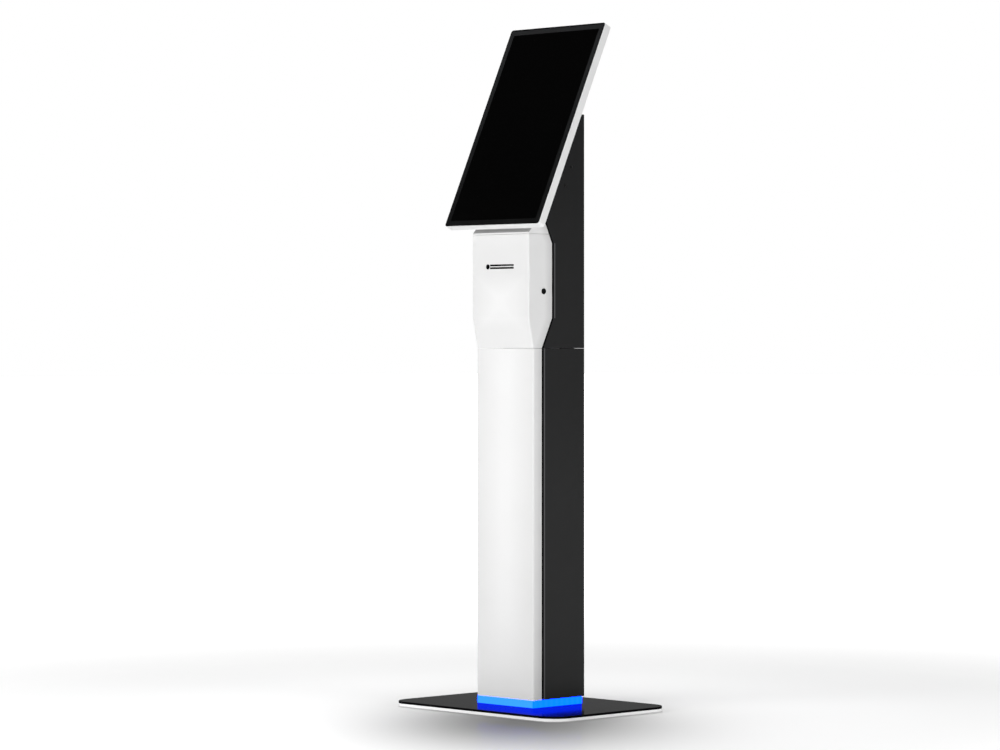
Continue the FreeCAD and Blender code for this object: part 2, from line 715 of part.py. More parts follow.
def make_hinges():
    """Lift-off hinges on the outside of the left wall, across the shadow gap."""
    axis_x = -half - s.pivot_out
    axis_y = y_at(pivot_depth())
    x = (-half - s.leaf, -half)
    door_leaves, body_leaves, pins = [], [], []
    for name, low in (("low", s.low_hinge), ("high", s.high_hinge)):
        middle = low + s.hinge_tall / 2
        top = low + s.hinge_tall
        bore = rod(name + "_bore", "z", s.hinge_pin + 0.1, (axis_x, axis_y, low - 1), s.hinge_tall + 2)
        knuckle = rod(name + "_door_knuckle", "z", s.knuckle, (axis_x, axis_y, middle + 0.15),
                      s.hinge_tall / 2 - 0.15)
        near = axis_y - s.knuckle / 2 - s.fit_gap
        plate = box(name + "_door_plate", x, (axis_y - s.leaf_wide, near), (low, top))
        root = box(name + "_door_root", x, (near - 1, axis_y), (middle + 0.15, top))
        door_leaves.append(cut(name + "_door_leaf", join(name + "_door_blank", knuckle, plate, root), bore))
        knuckle = rod(name + "_body_knuckle", "z", s.knuckle, (axis_x, axis_y, low), s.hinge_tall / 2 - 0.15)
        plate = box(name + "_body_plate", x, (axis_y + s.shadow_gap / 2 + s.fold, axis_y + s.leaf_wide), (low, top))
        root = box(name + "_body_root", x, (axis_y, axis_y + s.shadow_gap + 2), (low, middle - 0.15))
        bore = rod(name + "_body_bore", "z", s.hinge_pin, (axis_x, axis_y, low - 1), s.hinge_tall + 2)
        body_leaves.append(cut(name + "_body_leaf", join(name + "_body_blank", knuckle, plate, root), bore))
        pins.append(rod(name + "_pin", "z", s.hinge_pin, (axis_x, axis_y, low + 1), s.hinge_tall - 3))
    node("door_hinge_leaves", group("door_leaf_set", *door_leaves))
    node("body_hinge_leaves", group("body_leaf_set", *body_leaves))
    node("hinge_pins", group("pin_set", *pins))


def pivot_depth():
    return s.head_back + s.shadow_gap / 2


def make_lock():
    y, z = y_at(s.lock_y), lock_high()
    wall = half - s.skin
    barrel_end = s.cam_x + s.cam_thick + 0.5
    flange = rod("lock_flange", "x", s.lock_round, (half, y, z), 1.4)
    barrel = rod("lock_barrel", "x", s.barrel_round, (barrel_end, y, z), half - barrel_end + 0.5)
    bore = rod("lock_bore", "x", s.plug_round + 0.1, (barrel_end - 1, y, z), half - barrel_end + 4)
    node("lock_body", cut("lock_body_cut", join("lock_blank", flange, barrel), bore))
    nut = rod("nut_blank", "x", 16, (wall - 3.2, y, z), 3.2)
    nut_bore = rod("nut_bore", "x", s.barrel_round + 0.1, (wall - 5, y, z), 8)
    node("lock_nut", cut("nut_cut", nut, nut_bore))
    plug = rod("plug_blank", "x", s.plug_round, (barrel_end - 0.5, y, z), half + 1.2 - barrel_end + 0.5)
    tail = rod("plug_tail", "x", 6, (s.cam_x - 0.8, y, z), s.cam_thick + 1.8)
    keyway = box("keyway", (half - 2, half + 2), span(y, as_size(1.3)), span(z, as_size(5)))
    node("lock_plug", cut("plug_cut", join("plug_parts", plug, tail), keyway))
    arm = box("cam_arm", (s.cam_x, s.cam_x + s.cam_thick), (y, y + s.cam_long), span(z, s.cam_wide - 2))
    hub = rod("cam_hub", "x", s.cam_wide, (s.cam_x, y, z), s.cam_thick)
    hole = rod("cam_hole", "x", 6, (s.cam_x - 1, y, z), s.cam_thick + 2)
    node("lock_cam", cut("cam_cut", join("cam_blank", arm, hub), hole))
    keeper_x = s.cradle_wide / 2 - s.hull
    keeper_y = y - s.cam_wide / 2 - 3
    tall = (z + s.cam_wide / 2 + 4, z + s.cam_wide / 2 + 20)
    plate = box("keeper_plate", (keeper_x - 2, keeper_x), (keeper_y, y_at(s.cradle_y + 20)), tall)
    lip = box("keeper_lip", (keeper_x - 2, s.cam_x + s.cam_thick + 4), (keeper_y, keeper_y + 2), tall)
    node("lock_keeper", join("keeper", plate, lip))


# Inside the head: cradle, shelf, paper roll and printer

def make_cradle():
    z = (s.mid_tray + s.tray_thick, s.door_top - 5)
    y = (y_at(s.cradle_y), y_at(s.spine_y))
    out = s.cradle_wide / 2
    outer = box("cradle_outer", (-out, out), y, z)
    inner = box("cradle_inner", (s.hull - out, out - s.hull), (y[0] - 1, y[1] - s.hull), (z[0] - 1, z[1] + 1))
    way = rod("lead_way", "y", 18, (as_size(58), y[1] - 5, s.shelf_high + 10), 10)
    node("head_cradle", cut("cradle_cut", outer, inner, way))


def make_shelf():
    out = s.shelf_wide / 2
    back = y_at(s.spine_y) - s.hull
    plate = box("shelf_plate", (-out, out), (y_at(s.shelf_y), back), (s.shelf_high, s.shelf_high + s.hull))
    arms = [box(f"shelf_arm_{side}", span((out - s.hull / 2) * side, s.hull), (y_at(s.arm_y), back),
                (s.shelf_high - s.arm_tall, s.shelf_high)) for side in (-1, 1)]
    seat = rod("spindle_seat", "x", s.spindle_round, (-out - 1, y_at(s.roll_y), s.roll_high),
               s.shelf_wide + 2)
    slot = box("spindle_slot", (-out - 1, out + 1), (y_at(s.arm_y - 1), y_at(s.roll_y)),
               span(s.roll_high, s.spindle_round))
    web_way = box("paper_way", span(as_size(0), s.roll_wide + 6), (y_at(74), y_at(90)),
                  (s.shelf_high - 1, s.shelf_high + s.hull + 1))
    node("printer_shelf", cut("shelf_cut", join("shelf_blank", plate, *arms), seat, slot, web_way))


def make_roll():
    spot = (y_at(s.roll_y), s.roll_high)
    spindle = rod("spindle_rod", "x", s.spindle_round, (-s.shelf_wide / 2 - 3, *spot), s.shelf_wide + 6)
    collars = [rod(f"spindle_collar_{side}", "x", 32, ((s.roll_wide / 2 + 2) * side - 1, *spot), 2)
               for side in (-1, 1)]
    node("roll_spindle", join("spindle", spindle, *collars))
    roll = rod("roll_blank", "x", s.roll_round, (-s.roll_wide / 2, *spot), s.roll_wide)
    bore = rod("roll_bore", "x", s.roll_bore, (-s.roll_wide / 2 - 1, *spot), s.roll_wide + 2)
    node("paper_roll", cut("roll_cut", roll, bore))


def platen_high():
    return paper_high() + s.platen_round / 2 + s.fit_gap


def make_printer_body():
    out = s.printer_wide / 2
    floor = s.shelf_high + s.hull
    y = (y_at(s.printer_y), y_at(s.printer_y + s.printer_deep))
    top = floor + s.printer_tall
    blank = box("chassis_blank", (-out, out), y, (floor, top))
    bay = box("chassis_bay", (2 - out, out - 2), (y[0] + 2, y[1] - 2), (floor + 2, top + 1))
    rear_low = box("chassis_rear_low", (-out - 1, out + 1), (y[1] - 20, y[1] + 1), (top - 8, top + 1))
    shell = cut("chassis_shell", blank, bay, rear_low)
    cheek_x = s.gear_x - 1
    cheek = box("gear_cheek", (cheek_x - 2, cheek_x), (y[0], y[1] - 20), (floor, top - 1))
    ears = []
    for side in (-1, 1):
        x = span((out - 3.5) * side, as_size(2))
        ears.append(box(f"ear_{side}", x, span(y_at(s.lid_pin_y), as_size(10)), (floor, s.lid_pin_high)))
        ears.append(rod(f"ear_round_{side}", "x", 10, (x[0], y_at(s.lid_pin_y), s.lid_pin_high), 2))
    head_foot = box("head_foot", (as_size(-29), as_size(29)), (y_at(15.5), y_at(21.5)), (floor, top - 8))
    pin_way = rod("ear_bore", "x", s.lid_pin_round, (-out - 1, y_at(s.lid_pin_y), s.lid_pin_high),
                  s.printer_wide + 2)
    stud_y, stud_z = idler_centre()
    stud = rod("idler_stud", "x", 3, (cheek_x - 1, stud_y, stud_z), s.gear_thick + 2)
    motor_y, motor_z = pinion_centre()
    shaft_way = rod("pinion_way", "x", 4, (cheek_x - 5, motor_y, motor_z), 10)
    body = cut("chassis_cut", join("chassis_parts", shell, cheek, *ears, head_foot), pin_way, shaft_way)
    node("printer_chassis", join("chassis", body, stud))
    head_low = top - 8
    head_top = paper_high()
    node("print_head", box("head_bar", (as_size(-28.5), as_size(28.5)), (y_at(15.5), y_at(21.5)),
                           (head_low, head_top)))
    motor = rod("motor_can", "x", 15, (cheek_x - 20, motor_y, motor_z), 18)
    bearing = rod("motor_bearing", "x", 2.1, (cheek_x - 8, motor_y, motor_z), 10)
    node("feed_motor", cut("motor_cut", motor, bearing))


TO_IDLER = -90
TO_PINION = -20


def idler_centre():
    """The idler sits straight below the platen gear, so the lid lifts clear of it."""
    apart = s.tooth * (s.platen_teeth + s.idler_teeth) / 2 + s.mesh_gap
    return y_at(s.platen_y), platen_high() - apart


def pinion_centre():
    """The motor pinion sits behind the idler and a little below it."""
    apart = s.tooth * (s.idler_teeth + s.pinion_teeth) / 2 + s.mesh_gap
    turn = math.radians(TO_PINION)
    y, z = idler_centre()
    return y + apart * math.cos(turn), z + apart * math.sin(turn)


def gear_shape(teeth, turn, bore):
    """A spur gear along +X with straight-flanked teeth, one of them at a turn."""
    module = s.tooth.value
    pitch = module * teeth / 2
    root, tip = pitch - 1.2 * module, pitch + 0.9 * module
    corners = []
    for number in range(teeth):
        middle = math.radians(turn + 360 * number / teeth)
        for radius, width in ((root, -1.15), (pitch, -0.62), (tip, -0.3), (tip, 0.3), (pitch, 0.62), (root, 1.15)):
            angle = middle + width * module / radius
            corners.append(FreeCAD.Vector(0, radius * math.cos(angle), radius * math.sin(angle)))
    corners.append(corners[0])
    blank = Part.Face(Part.makePolygon(corners)).extrude(FreeCAD.Vector(s.gear_thick.value, 0, 0))
    axis = FreeCAD.Vector(1, 0, 0)
    return blank.cut(Part.makeCylinder(bore / 2, 20, FreeCAD.Vector(-5, 0, 0), axis))


def gear_turns():
    """Turns at which the three gears are in mesh at rest."""
    idler = TO_IDLER + 180
    platen = TO_IDLER + 180 / SIZES["platen_teeth"]
    lag = (idler - TO_PINION) * SIZES["idler_teeth"] / SIZES["pinion_teeth"]
    pinion = TO_PINION + 180 - lag + 180 / SIZES["pinion_teeth"]
    return platen, idler, pinion


def gear_part(name, teeth, turn, bore, centre):
    item = doc.addObject("Part::Feature", name)
    item.Shape = gear_shape(teeth, turn, bore)
    put(item, s.gear_x, *centre)
    return item


def make_gears():
    platen_turn, idler_turn, pinion_turn = gear_turns()
    shaft = s.shaft_round.value
    centre = (y_at(s.platen_y), platen_high())
    gear = gear_part("platen_gear", SIZES["platen_teeth"], platen_turn, shaft - 1, centre)
    rubber = rod("platen_rubber", "x", s.platen_round, (-s.platen_long / 2, *centre), s.platen_long)
    axle = rod("platen_axle", "x", s.shaft_round, (-s.gear_x - 1.5, *centre), s.gear_x * 2 + s.gear_thick + 1.5)
    node("platen_roller", join("platen", rubber, axle, gear))
    node("idler_gear", gear_part("idler", SIZES["idler_teeth"], idler_turn, 3.12, idler_centre()))
    pinion = gear_part("pinion", SIZES["pinion_teeth"], pinion_turn, 1.0, pinion_centre())
    shaft = rod("pinion_shaft", "x", 2, (s.gear_x - 8, *pinion_centre()), s.gear_thick + 9)
    node("motor_pinion", join("pinion_parts", pinion, shaft))


def make_lid():
    out = s.printer_wide / 2
    y = (y_at(s.lid_y), y_at(s.lid_y + s.lid_deep))
    blank = box("lid_blank", (-out, out), y, (s.lid_low, s.lid_top))
    bay = box("lid_bay", (2 - out, out - 2), (y[0] + 2, y[1] - 2), (s.lid_low - 1, s.lid_top - 2))
    cheeks = [box(f"platen_cheek_{side}", span((s.gear_x - 2) * side, as_size(2)),
                  (y_at(s.platen_y - 7), y_at(s.platen_y + 7)), (s.lid_low + 1.5, s.lid_top)) for side in (-1, 1)]
    rear_way = box("ear_way", (2 - out, out - 2), (y[1] - 3, y[1] + 1), (s.lid_low - 1, s.lid_pin_high + 4.5))
    pin_way = rod("lid_pin_way", "x", s.lid_pin_round + 0.1, (-out - 1, y_at(s.lid_pin_y), s.lid_pin_high),
                  s.printer_wide + 2)
    axle_way = rod("axle_way", "x", s.shaft_round + 0.1, (-s.gear_x - 3, y_at(s.platen_y), platen_high()),
                   s.gear_x * 2 + 6)
    lid = cut("lid_cut", join("lid_parts", cut("lid_shell", blank, bay), *cheeks), rear_way, pin_way, axle_way)
    node("printer_lid", lid)
    node("lid_pin", rod("lid_pin_rod", "x", s.lid_pin_round, (-out, y_at(s.lid_pin_y), s.lid_pin_high),
                        s.printer_wide))


def make_cutter():
    out = s.cutter_wide / 2
    floor = s.shelf_high + s.hull
    y = (y_at(s.cutter_y), y_at(s.printer_y))
    path = paper_high()
    blank = box("cutter_blank", (-out, out), y, (floor, floor + s.cutter_tall))
    throat = box("cutter_throat", span(as_size(0), s.roll_wide + 4), (y[0] - 1, y[1] + 1), span(path, s.throat))
    blade_y = (y_at(-1.4), y_at(-0.6))
    cave = box("blade_way", (as_size(-33.4), as_size(33.4)), (blade_y[0] - 0.1, blade_y[1] + 0.1),
               (path - 22, path + 6))
    button_way = rod("button_way", "y", 6.6, (as_size(29), y[0] - 1, floor + 12), 6.5)
    node("cutter_housing", cut("cutter_cut", blank, throat, cave, button_way))
    node("cutter_blade", box("blade", (as_size(-33), as_size(33)), blade_y, (path - 20, path - s.throat / 2 - 0.4)))
    cap = rod("button_cap", "y", 6, (as_size(29), y[0] - 1.2, floor + 12), 5)
    node("feed_button", cap)


# Screen, drawn upright in its own frame and then leaned back

def make_screen():
    wide, tall = s.glass_wide / 2, s.glass_tall
    glass = leaning_slab("glass_blank", (-wide, wide), (as_size(0), tall), (as_size(0), s.glass_thick),
                         s.glass_corner)
    node("cover_glass", lean_back(glass))
    x = (-wide - s.rim, wide + s.rim)
    z = (-s.rim, tall + s.rim)
    case = leaning_slab("case_blank", x, z, (as_size(0.4), s.case_deep), s.glass_corner + s.rim)
    seat = leaning_slab("glass_seat", (-wide - 0.2, wide + 0.2), (as_size(-0.2), tall + 0.2),
                        (as_size(-1), s.glass_thick), s.glass_corner + 0.2)
    wall = s.case_wall
    bay = box("case_bay", (x[0] + wall, x[1] - wall), (as_size(-1), s.case_deep - s.case_back),
              (z[0] + wall, z[1] - wall))
    window = box("case_window", span(as_size(0), s.pod_wide - 12), (as_size(0), s.case_deep + 1),
                 (s.pod_low + 6, s.pod_low + s.pod_tall - 6))
    button_way = rod("power_way", "y", 7.6, (as_size(-125), as_size(5), as_size(60)), 20)
    vents = [box(f"case_vent_{number}", span(as_size(-60 + 10 * number), as_size(3)), (s.case_deep - 5, s.case_deep + 1),
                 (tall - 80, tall - 40)) for number in range(13)]
    node("screen_case", lean_back(cut("case_cut", case, seat, bay, window, button_way, *vents)))
    panel = box("panel", (x[0] + wall + 0.3, x[1] - wall - 0.3),
                (s.glass_thick, s.glass_thick + s.panel_thick), (z[0] + wall + 0.3, z[1] - wall - 0.3))
    node("display_panel", lean_back(group("panel_set", panel)))
    cap = rod("power_cap", "y", 7, (as_size(-125), s.case_deep - 3.5, as_size(60)), 4.7)
    node("power_button", lean_back(group("cap_set", cap)))


def leaning_slab(name, x, z, y, corner):
    """A plate with round corners that faces the reader, in the screen's own frame."""
    body = new_body(name)
    plate = pad(body, outline(body, "XZ_Plane", rectangle(x, z), -y[1]), y[1] - y[0])

    def across(a, b):
        return abs(a.x - b.x) < 0.01 and abs(a.z - b.z) < 0.01

    round_over(body, plate, corner, across)
    return body


def make_pod():
    x = span(as_size(0), s.pod_wide)
    z = (s.pod_low, s.pod_low + s.pod_tall)
    y = (s.case_deep, s.case_deep + s.pod_deep)
    shell = box("pod_blank", x, y, z)
    bay = box("pod_bay", (x[0] + 1.5, x[1] - 1.5), (y[0] - 1, y[1] - 1.5), (z[0] + 1.5, z[1] - 1.5))
    slots = [box(f"pod_slot_{number}", span(as_size(-54 + 9 * number), as_size(4)), (y[0] + 6, y[1] - 6),
                 (z[1] - 5, z[1] + 5)) for number in range(13)]
    holes = [rod(f"pod_hole_{number}", "y", 4.4, (a, y[1] - 5, b), 10) for number, (a, b) in enumerate(vesa_spots())]
    node("electronics_pod", lean_back(cut("pod_cut", shell, bay, *slots, *holes)))
    board = box("board_blank", span(as_size(0), as_size(120)), (y[0] + 3, y[0] + 4.6),
                (z[0] + 10, z[0] + 126))
    posts = [rod(f"board_post_{number}", "y", 6, (as_size(a), y[0] + 4.6, s.pod_low + b), s.pod_deep - 6.1)
             for number, (a, b) in enumerate(((-56, 14), (56, 14), (-56, 122), (56, 122)))]
    chips = [box("chip_slots", (as_size(20), as_size(54)), (y[0] + 4.6, y[0] + 8), (z[0] + 60, z[0] + 100)),
             box("chip_ports", (as_size(-50), as_size(50)), (y[0] + 4.6, y[0] + 16), (z[0] + 11, z[0] + 24))]
    node("main_board", lean_back(join("board_parts", board, *posts, *chips)))
    base = box("sink_base", (as_size(-44), as_size(12)), (y[0] + 4.6, y[0] + 8.6), (z[0] + 44, z[0] + 104))
    fins = [box(f"fin_{number}", span(as_size(-42 + 7 * number), as_size(1.2)), (y[0] + 8.6, y[1] - 3),
                (z[0] + 44, z[0] + 104)) for number in range(8)]
    node("heat_sink", lean_back(join("sink_parts", base, *fins)))


def vesa_spots():
    middle = s.pod_low + s.pod_tall / 2
    return [(s.vesa * side / 2, middle + s.vesa * end / 2) for side in (-1, 1) for end in (-1, 1)]


def make_carrier():
    """The folded bracket that bolts the screen's pod between the body's side walls."""
    out = half - s.hull - s.fit_gap
    y = (s.case_deep + s.pod_deep, s.case_deep + s.pod_deep + s.hull)
    z = (s.carrier_low, s.carrier_low + s.carrier_tall)
    web = box("carrier_web", (-out, out), y, z)
    ears = [box(f"carrier_ear_{side}", span((out - s.hull / 2) * side, s.hull), (y[0], y[0] + s.carrier_deep),
                (z[0], z[0] + s.carrier_ear)) for side in (-1, 1)]
    way = rod("carrier_way", "y", 60, (as_size(0), y[0] - 5, s.pod_low + s.pod_tall / 2), 20)
    holes = [rod(f"carrier_hole_{number}", "y", 4.4, (a, y[0] - 5, b), 20) for number, (a, b) in enumerate(vesa_spots())]
    for number, up in enumerate((s.carrier_bolt_low, s.carrier_bolt_low + s.carrier_bolt_gap)):
        holes.append(rod(f"ear_hole_{number}", "x", 4.2, (-half, s.carrier_bolt_y, up), s.column_wide))
    node("screen_carrier", lean_back(cut("carrier_cut", join("carrier_blank", web, *ears), way, *holes)))
    screws = []
    for number, (a, b) in enumerate(vesa_spots()):
        head = rod(f"vesa_head_{number}", "y", 7.6, (a, y[1], b), 2)
        shank = rod(f"vesa_shank_{number}", "y", 3.9, (a, y[0] - 4, b), 8)
        screws.append(join(f"vesa_screw_{number}", head, shank))
    node("pod_screws", lean_back(group("pod_screw_set", *screws)))
    side_screws = []
    for number, (b, c) in enumerate(carrier_bolt_spots()):
        for side, name in ((-1, "left"), (1, "right")):
            head_x = half if side > 0 else -half - 1.2
            head = rod(f"side_head_{name}_{number}", "x", 6.4, (head_x, b, c), 1.2)
            shank_x = half - 7 if side > 0 else -half - 1
            shank = rod(f"side_shank_{name}_{number}", "x", 3.9, (shank_x, b, c), 8)
            side_screws.append(join(f"side_screw_{name}_{number}", head, shank))
    node("side_screws", group("side_screw_set", *side_screws))


# Power: supply, inlet with its switch, and the leads inside

def make_power():
    x = span(as_size(0), s.supply_wide)
    y = (y_at(s.spine_y) - s.supply_deep, y_at(s.spine_y))
    z = (s.supply_low, s.supply_low + s.supply_tall)
    case = box("supply_case", x, y, z)
    slots = [box(f"supply_slot_{number}", (x[0] + 10, x[1] - 10), (y[0] - 1, y[0] + 1.2), span(z[0] + 40 + 9 * number, as_size(3)))
             for number in range(10)]
    node("power_supply", cut("supply_cut", case, *slots))
    out = span(s.inlet_x, s.inlet_wide)
    tall = span(s.inlet_high, s.inlet_tall)
    block = box("inlet_block", out, (rear - 30, rear + 0.5), tall)
    flange = box("inlet_flange", span(s.inlet_x, s.inlet_wide + 4), (rear, rear + 2.5), span(s.inlet_high, s.inlet_tall + 4))
    socket = box("inlet_socket", span(s.inlet_x, as_size(22)), (rear - 14, rear + 5), span(s.inlet_high - 12, as_size(16)))
    well = box("switch_well", span(s.inlet_x, as_size(14)), (rear - 12, rear + 5), span(s.inlet_high + 12, as_size(20)))
    core = join("inlet_blank", block, flange)
    blades = [box(f"inlet_blade_{number}", span(s.inlet_x + 7 * number, as_size(2)), (rear - 15, rear - 3),
                  span(s.inlet_high - 12 + (2 if number == 0 else -2), as_size(4))) for number in (-1, 0, 1)]
    node("mains_inlet", join("inlet", cut("inlet_cut", core, socket, well), *blades))
    pivot = rear - 3
    body = rod("rocker_round", "x", 17, (s.inlet_x - 6.7, pivot, s.inlet_high + 12), 13.4)
    trim = box("rocker_trim", (s.inlet_x - 10, s.inlet_x + 10), (rear + 4, rear + 20), span(s.inlet_high + 12, as_size(30)))
    behind = box("rocker_behind", (s.inlet_x - 10, s.inlet_x + 10), (rear - 30, rear - 9), span(s.inlet_high + 12, as_size(30)))
    node("power_rocker", cut("rocker_cut", body, trim, behind))


def lead(label, across, points):
    """A round lead along straight runs joined by tangent arcs."""
    corners = [FreeCAD.Vector(x, front.value + y, z) for x, y, z in points]
    edges = []
    start = corners[0]
    for before, corner, after in zip(corners, corners[1:], corners[2:]):
        inward = (before - corner).normalize()
        onward = (after - corner).normalize()
        half_turn = (math.pi - inward.getAngle(onward)) / 2
        reach = 0.45 * min((before - corner).Length, (after - corner).Length)
        radius = reach / math.tan(half_turn)
        enter, leave = corner + inward * reach, corner + onward * reach
        middle = (inward + onward).normalize()
        crown = corner + middle * (radius / math.cos(half_turn) - radius)
        edges.append(Part.LineSegment(start, enter).toShape())
        edges.append(Part.Arc(enter, crown, leave).toShape())
        start = leave
    edges.append(Part.LineSegment(start, corners[-1]).toShape())
    path = Part.Wire(edges)
    section = Part.Wire(Part.makeCircle(across / 2, corners[0], corners[1] - corners[0]))
    tube = path.makePipeShell([section], True, False)
    expected = math.pi * across ** 2 / 4 * path.Length
    print(f"{label}: {path.Length:.0f} mm long, volume off by {abs(tube.Volume / expected - 1):.4f}")
    item = doc.addObject("Part::Feature", label)
    item.Shape = tube
    node(label, item)


def make_leads():
    core_in = s.column_wide.value / 2 - s.band_wall.value - s.band_air.value - s.core_wall.value
    lead("mains_lead", 6.5, [(68, 132, 95), (68, 108, 95), (66, 84, 130), (66, 80, 190), (66, 80, 450),
                             (60, 80, 510), (36, 80, 536), (36, 80, 561)])
    lead("screen_lead", 6, [(-30, 80, 720), (-30, 80, 742), (-48, 100, 766), (-58, 118, 788),
                            (-58, 118, 1090), (-56, 112, 1130), (-46, 80, 1148), (-40, 40, 1150),
                            (-40, 32.77, 1171.3), (-40, 43.76, 1194.87)])
    lead("printer_lead", 5, [(30, 80, 720), (30, 80, 742), (48, 100, 766), (58, 118, 788),
                             (58, 118, 930), (58, 106, 960), (54, 92, 966), (24, 86, 968), (24, 70, 968)])
    lead("light_lead", 4, [(-36, 80, 561), (-36, 80, 536), (-44, 76, 510), (-48, 74, 450), (-48, 74, 90),
                           (-50, 72, 40), (-62, 70, 22.5), (-core_in, 70, 22.5)])


def check_and_export():
    doc.recompute()
    for item in doc.Objects:
        bad = [state for state in item.State if state in ("Invalid", "Error")]
        if bad:
            raise RuntimeError(f"{item.Name} ({item.Label}) is {bad}")
    for item in nodes:
        if item.Shape.isNull() or not item.Shape.isValid() or not item.Shape.Solids:
            raise RuntimeError(f"{item.Label} has no valid shape")
    os.makedirs("parts", exist_ok=True)
    for item in nodes:
        item.Shape.exportStep(f"parts/{item.Label}.step")
    print(f"{len(nodes)} sub-parts written")


make_feet()
make_base()
make_band()
make_frame()
make_rear_screws()
make_lower_body()
make_upper_body()
make_shadow_strips()
make_lower_cover()
make_cover_clips()
make_door()
make_collar()
make_outlet()
make_hinges()
make_lock()
make_cradle()
make_shelf()
make_roll()
make_printer_body()
make_gears()
make_lid()
make_cutter()
make_screen()
make_pod()
make_carrier()
make_power()
make_leads()
check_and_export()
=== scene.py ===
import json
import math

import bmesh
import bpy
from mathutils import Matrix, Vector

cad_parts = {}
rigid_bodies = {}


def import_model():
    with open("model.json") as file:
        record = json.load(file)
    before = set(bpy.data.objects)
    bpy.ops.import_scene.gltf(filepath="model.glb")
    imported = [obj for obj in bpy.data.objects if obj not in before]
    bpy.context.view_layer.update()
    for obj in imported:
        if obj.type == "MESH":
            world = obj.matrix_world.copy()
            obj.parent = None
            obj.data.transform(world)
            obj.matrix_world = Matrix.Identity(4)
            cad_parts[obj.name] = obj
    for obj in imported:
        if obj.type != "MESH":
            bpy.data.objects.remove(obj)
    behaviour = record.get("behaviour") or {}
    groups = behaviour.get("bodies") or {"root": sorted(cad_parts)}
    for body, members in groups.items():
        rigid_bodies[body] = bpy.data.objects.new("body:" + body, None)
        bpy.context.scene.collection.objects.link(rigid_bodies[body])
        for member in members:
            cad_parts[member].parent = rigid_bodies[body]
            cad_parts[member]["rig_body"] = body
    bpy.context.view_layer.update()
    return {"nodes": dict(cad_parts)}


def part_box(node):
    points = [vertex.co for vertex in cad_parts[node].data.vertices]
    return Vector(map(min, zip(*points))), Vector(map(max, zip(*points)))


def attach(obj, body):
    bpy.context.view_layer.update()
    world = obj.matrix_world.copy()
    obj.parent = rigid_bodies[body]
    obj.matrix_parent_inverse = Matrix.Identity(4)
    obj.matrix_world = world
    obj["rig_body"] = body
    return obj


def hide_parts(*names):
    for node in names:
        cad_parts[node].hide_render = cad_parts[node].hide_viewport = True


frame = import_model()
nodes = frame["nodes"]
mm = 0.001
print("stage 1: frame loaded,", len(nodes), "pieces")


# shader maths: a Value is one output of a node, a Graph makes nodes, a Finish is the graph of a material

class Value:
    def __init__(self, graph, socket):
        self.graph = graph
        self.socket = socket

    def maths(self, operation, first, second=0.0):
        return self.graph.add("ShaderNodeMath", {"operation": operation}, {0: first, 1: second})

    def __add__(self, other):
        return self.maths("ADD", self, other)

    __radd__ = __add__

    def __sub__(self, other):
        return self.maths("SUBTRACT", self, other)

    def __rsub__(self, other):
        return self.maths("SUBTRACT", other, self)

    def __mul__(self, other):
        return self.maths("MULTIPLY", self, other)

    __rmul__ = __mul__

    def __lt__(self, other):
        return self.maths("LESS_THAN", self, other)

    def __gt__(self, other):
        return self.maths("GREATER_THAN", self, other)

    def __abs__(self):
        return self.maths("ABSOLUTE", self)

    def larger(self, other):
        return self.maths("MAXIMUM", self, other)

    def sine(self):
        return self.maths("SINE", self)

    def exponent(self):
        return self.maths("EXPONENT", self)


class Graph:
    def __init__(self, tree):
        self.tree = tree

    def add(self, kind, settings=None, inputs=None, output=0):
        made = self.tree.nodes.new(kind)
        for key, value in (settings or {}).items():
            if key == "stops":
                self.setStops(made.color_ramp, value)
            else:
                setattr(made, key, value)
        for key, value in (inputs or {}).items():
            self.feed(made.inputs[key], value)
        return Value(self, made.outputs[output])

    def feed(self, socket, value):
        if isinstance(value, Value):
            self.tree.links.new(value.socket, socket)
        else:
            socket.default_value = value

    def setStops(self, ramp, stops):  # each stop is a place from 0 to 1 and a share of white
        while len(ramp.elements) > 1:
            ramp.elements.remove(ramp.elements[-1])
        ramp.elements[0].position, share = stops[0]
        ramp.elements[0].color = shade(share)
        for place, share in stops[1:]:
            ramp.elements.new(place).color = shade(share)

    def axis(self, vector, name):
        return self.add("ShaderNodeSeparateXYZ", None, {0: vector}, output=name)

    def length(self, vector):
        return self.add("ShaderNodeVectorMath", {"operation": "LENGTH"}, {0: vector}, output="Value")

    def spread(self, value, start, end, low=0.0, top=1.0, curve="LINEAR"):
        return self.add("ShaderNodeMapRange", {"interpolation_type": curve},
                        {"Value": value, "From Min": start, "From Max": end, "To Min": low, "To Max": top})

    def between(self, share, first, second):  # numbers, where mix is for colours
        return self.add("ShaderNodeMix", {"data_type": "FLOAT"}, {0: share, 2: first, 3: second})


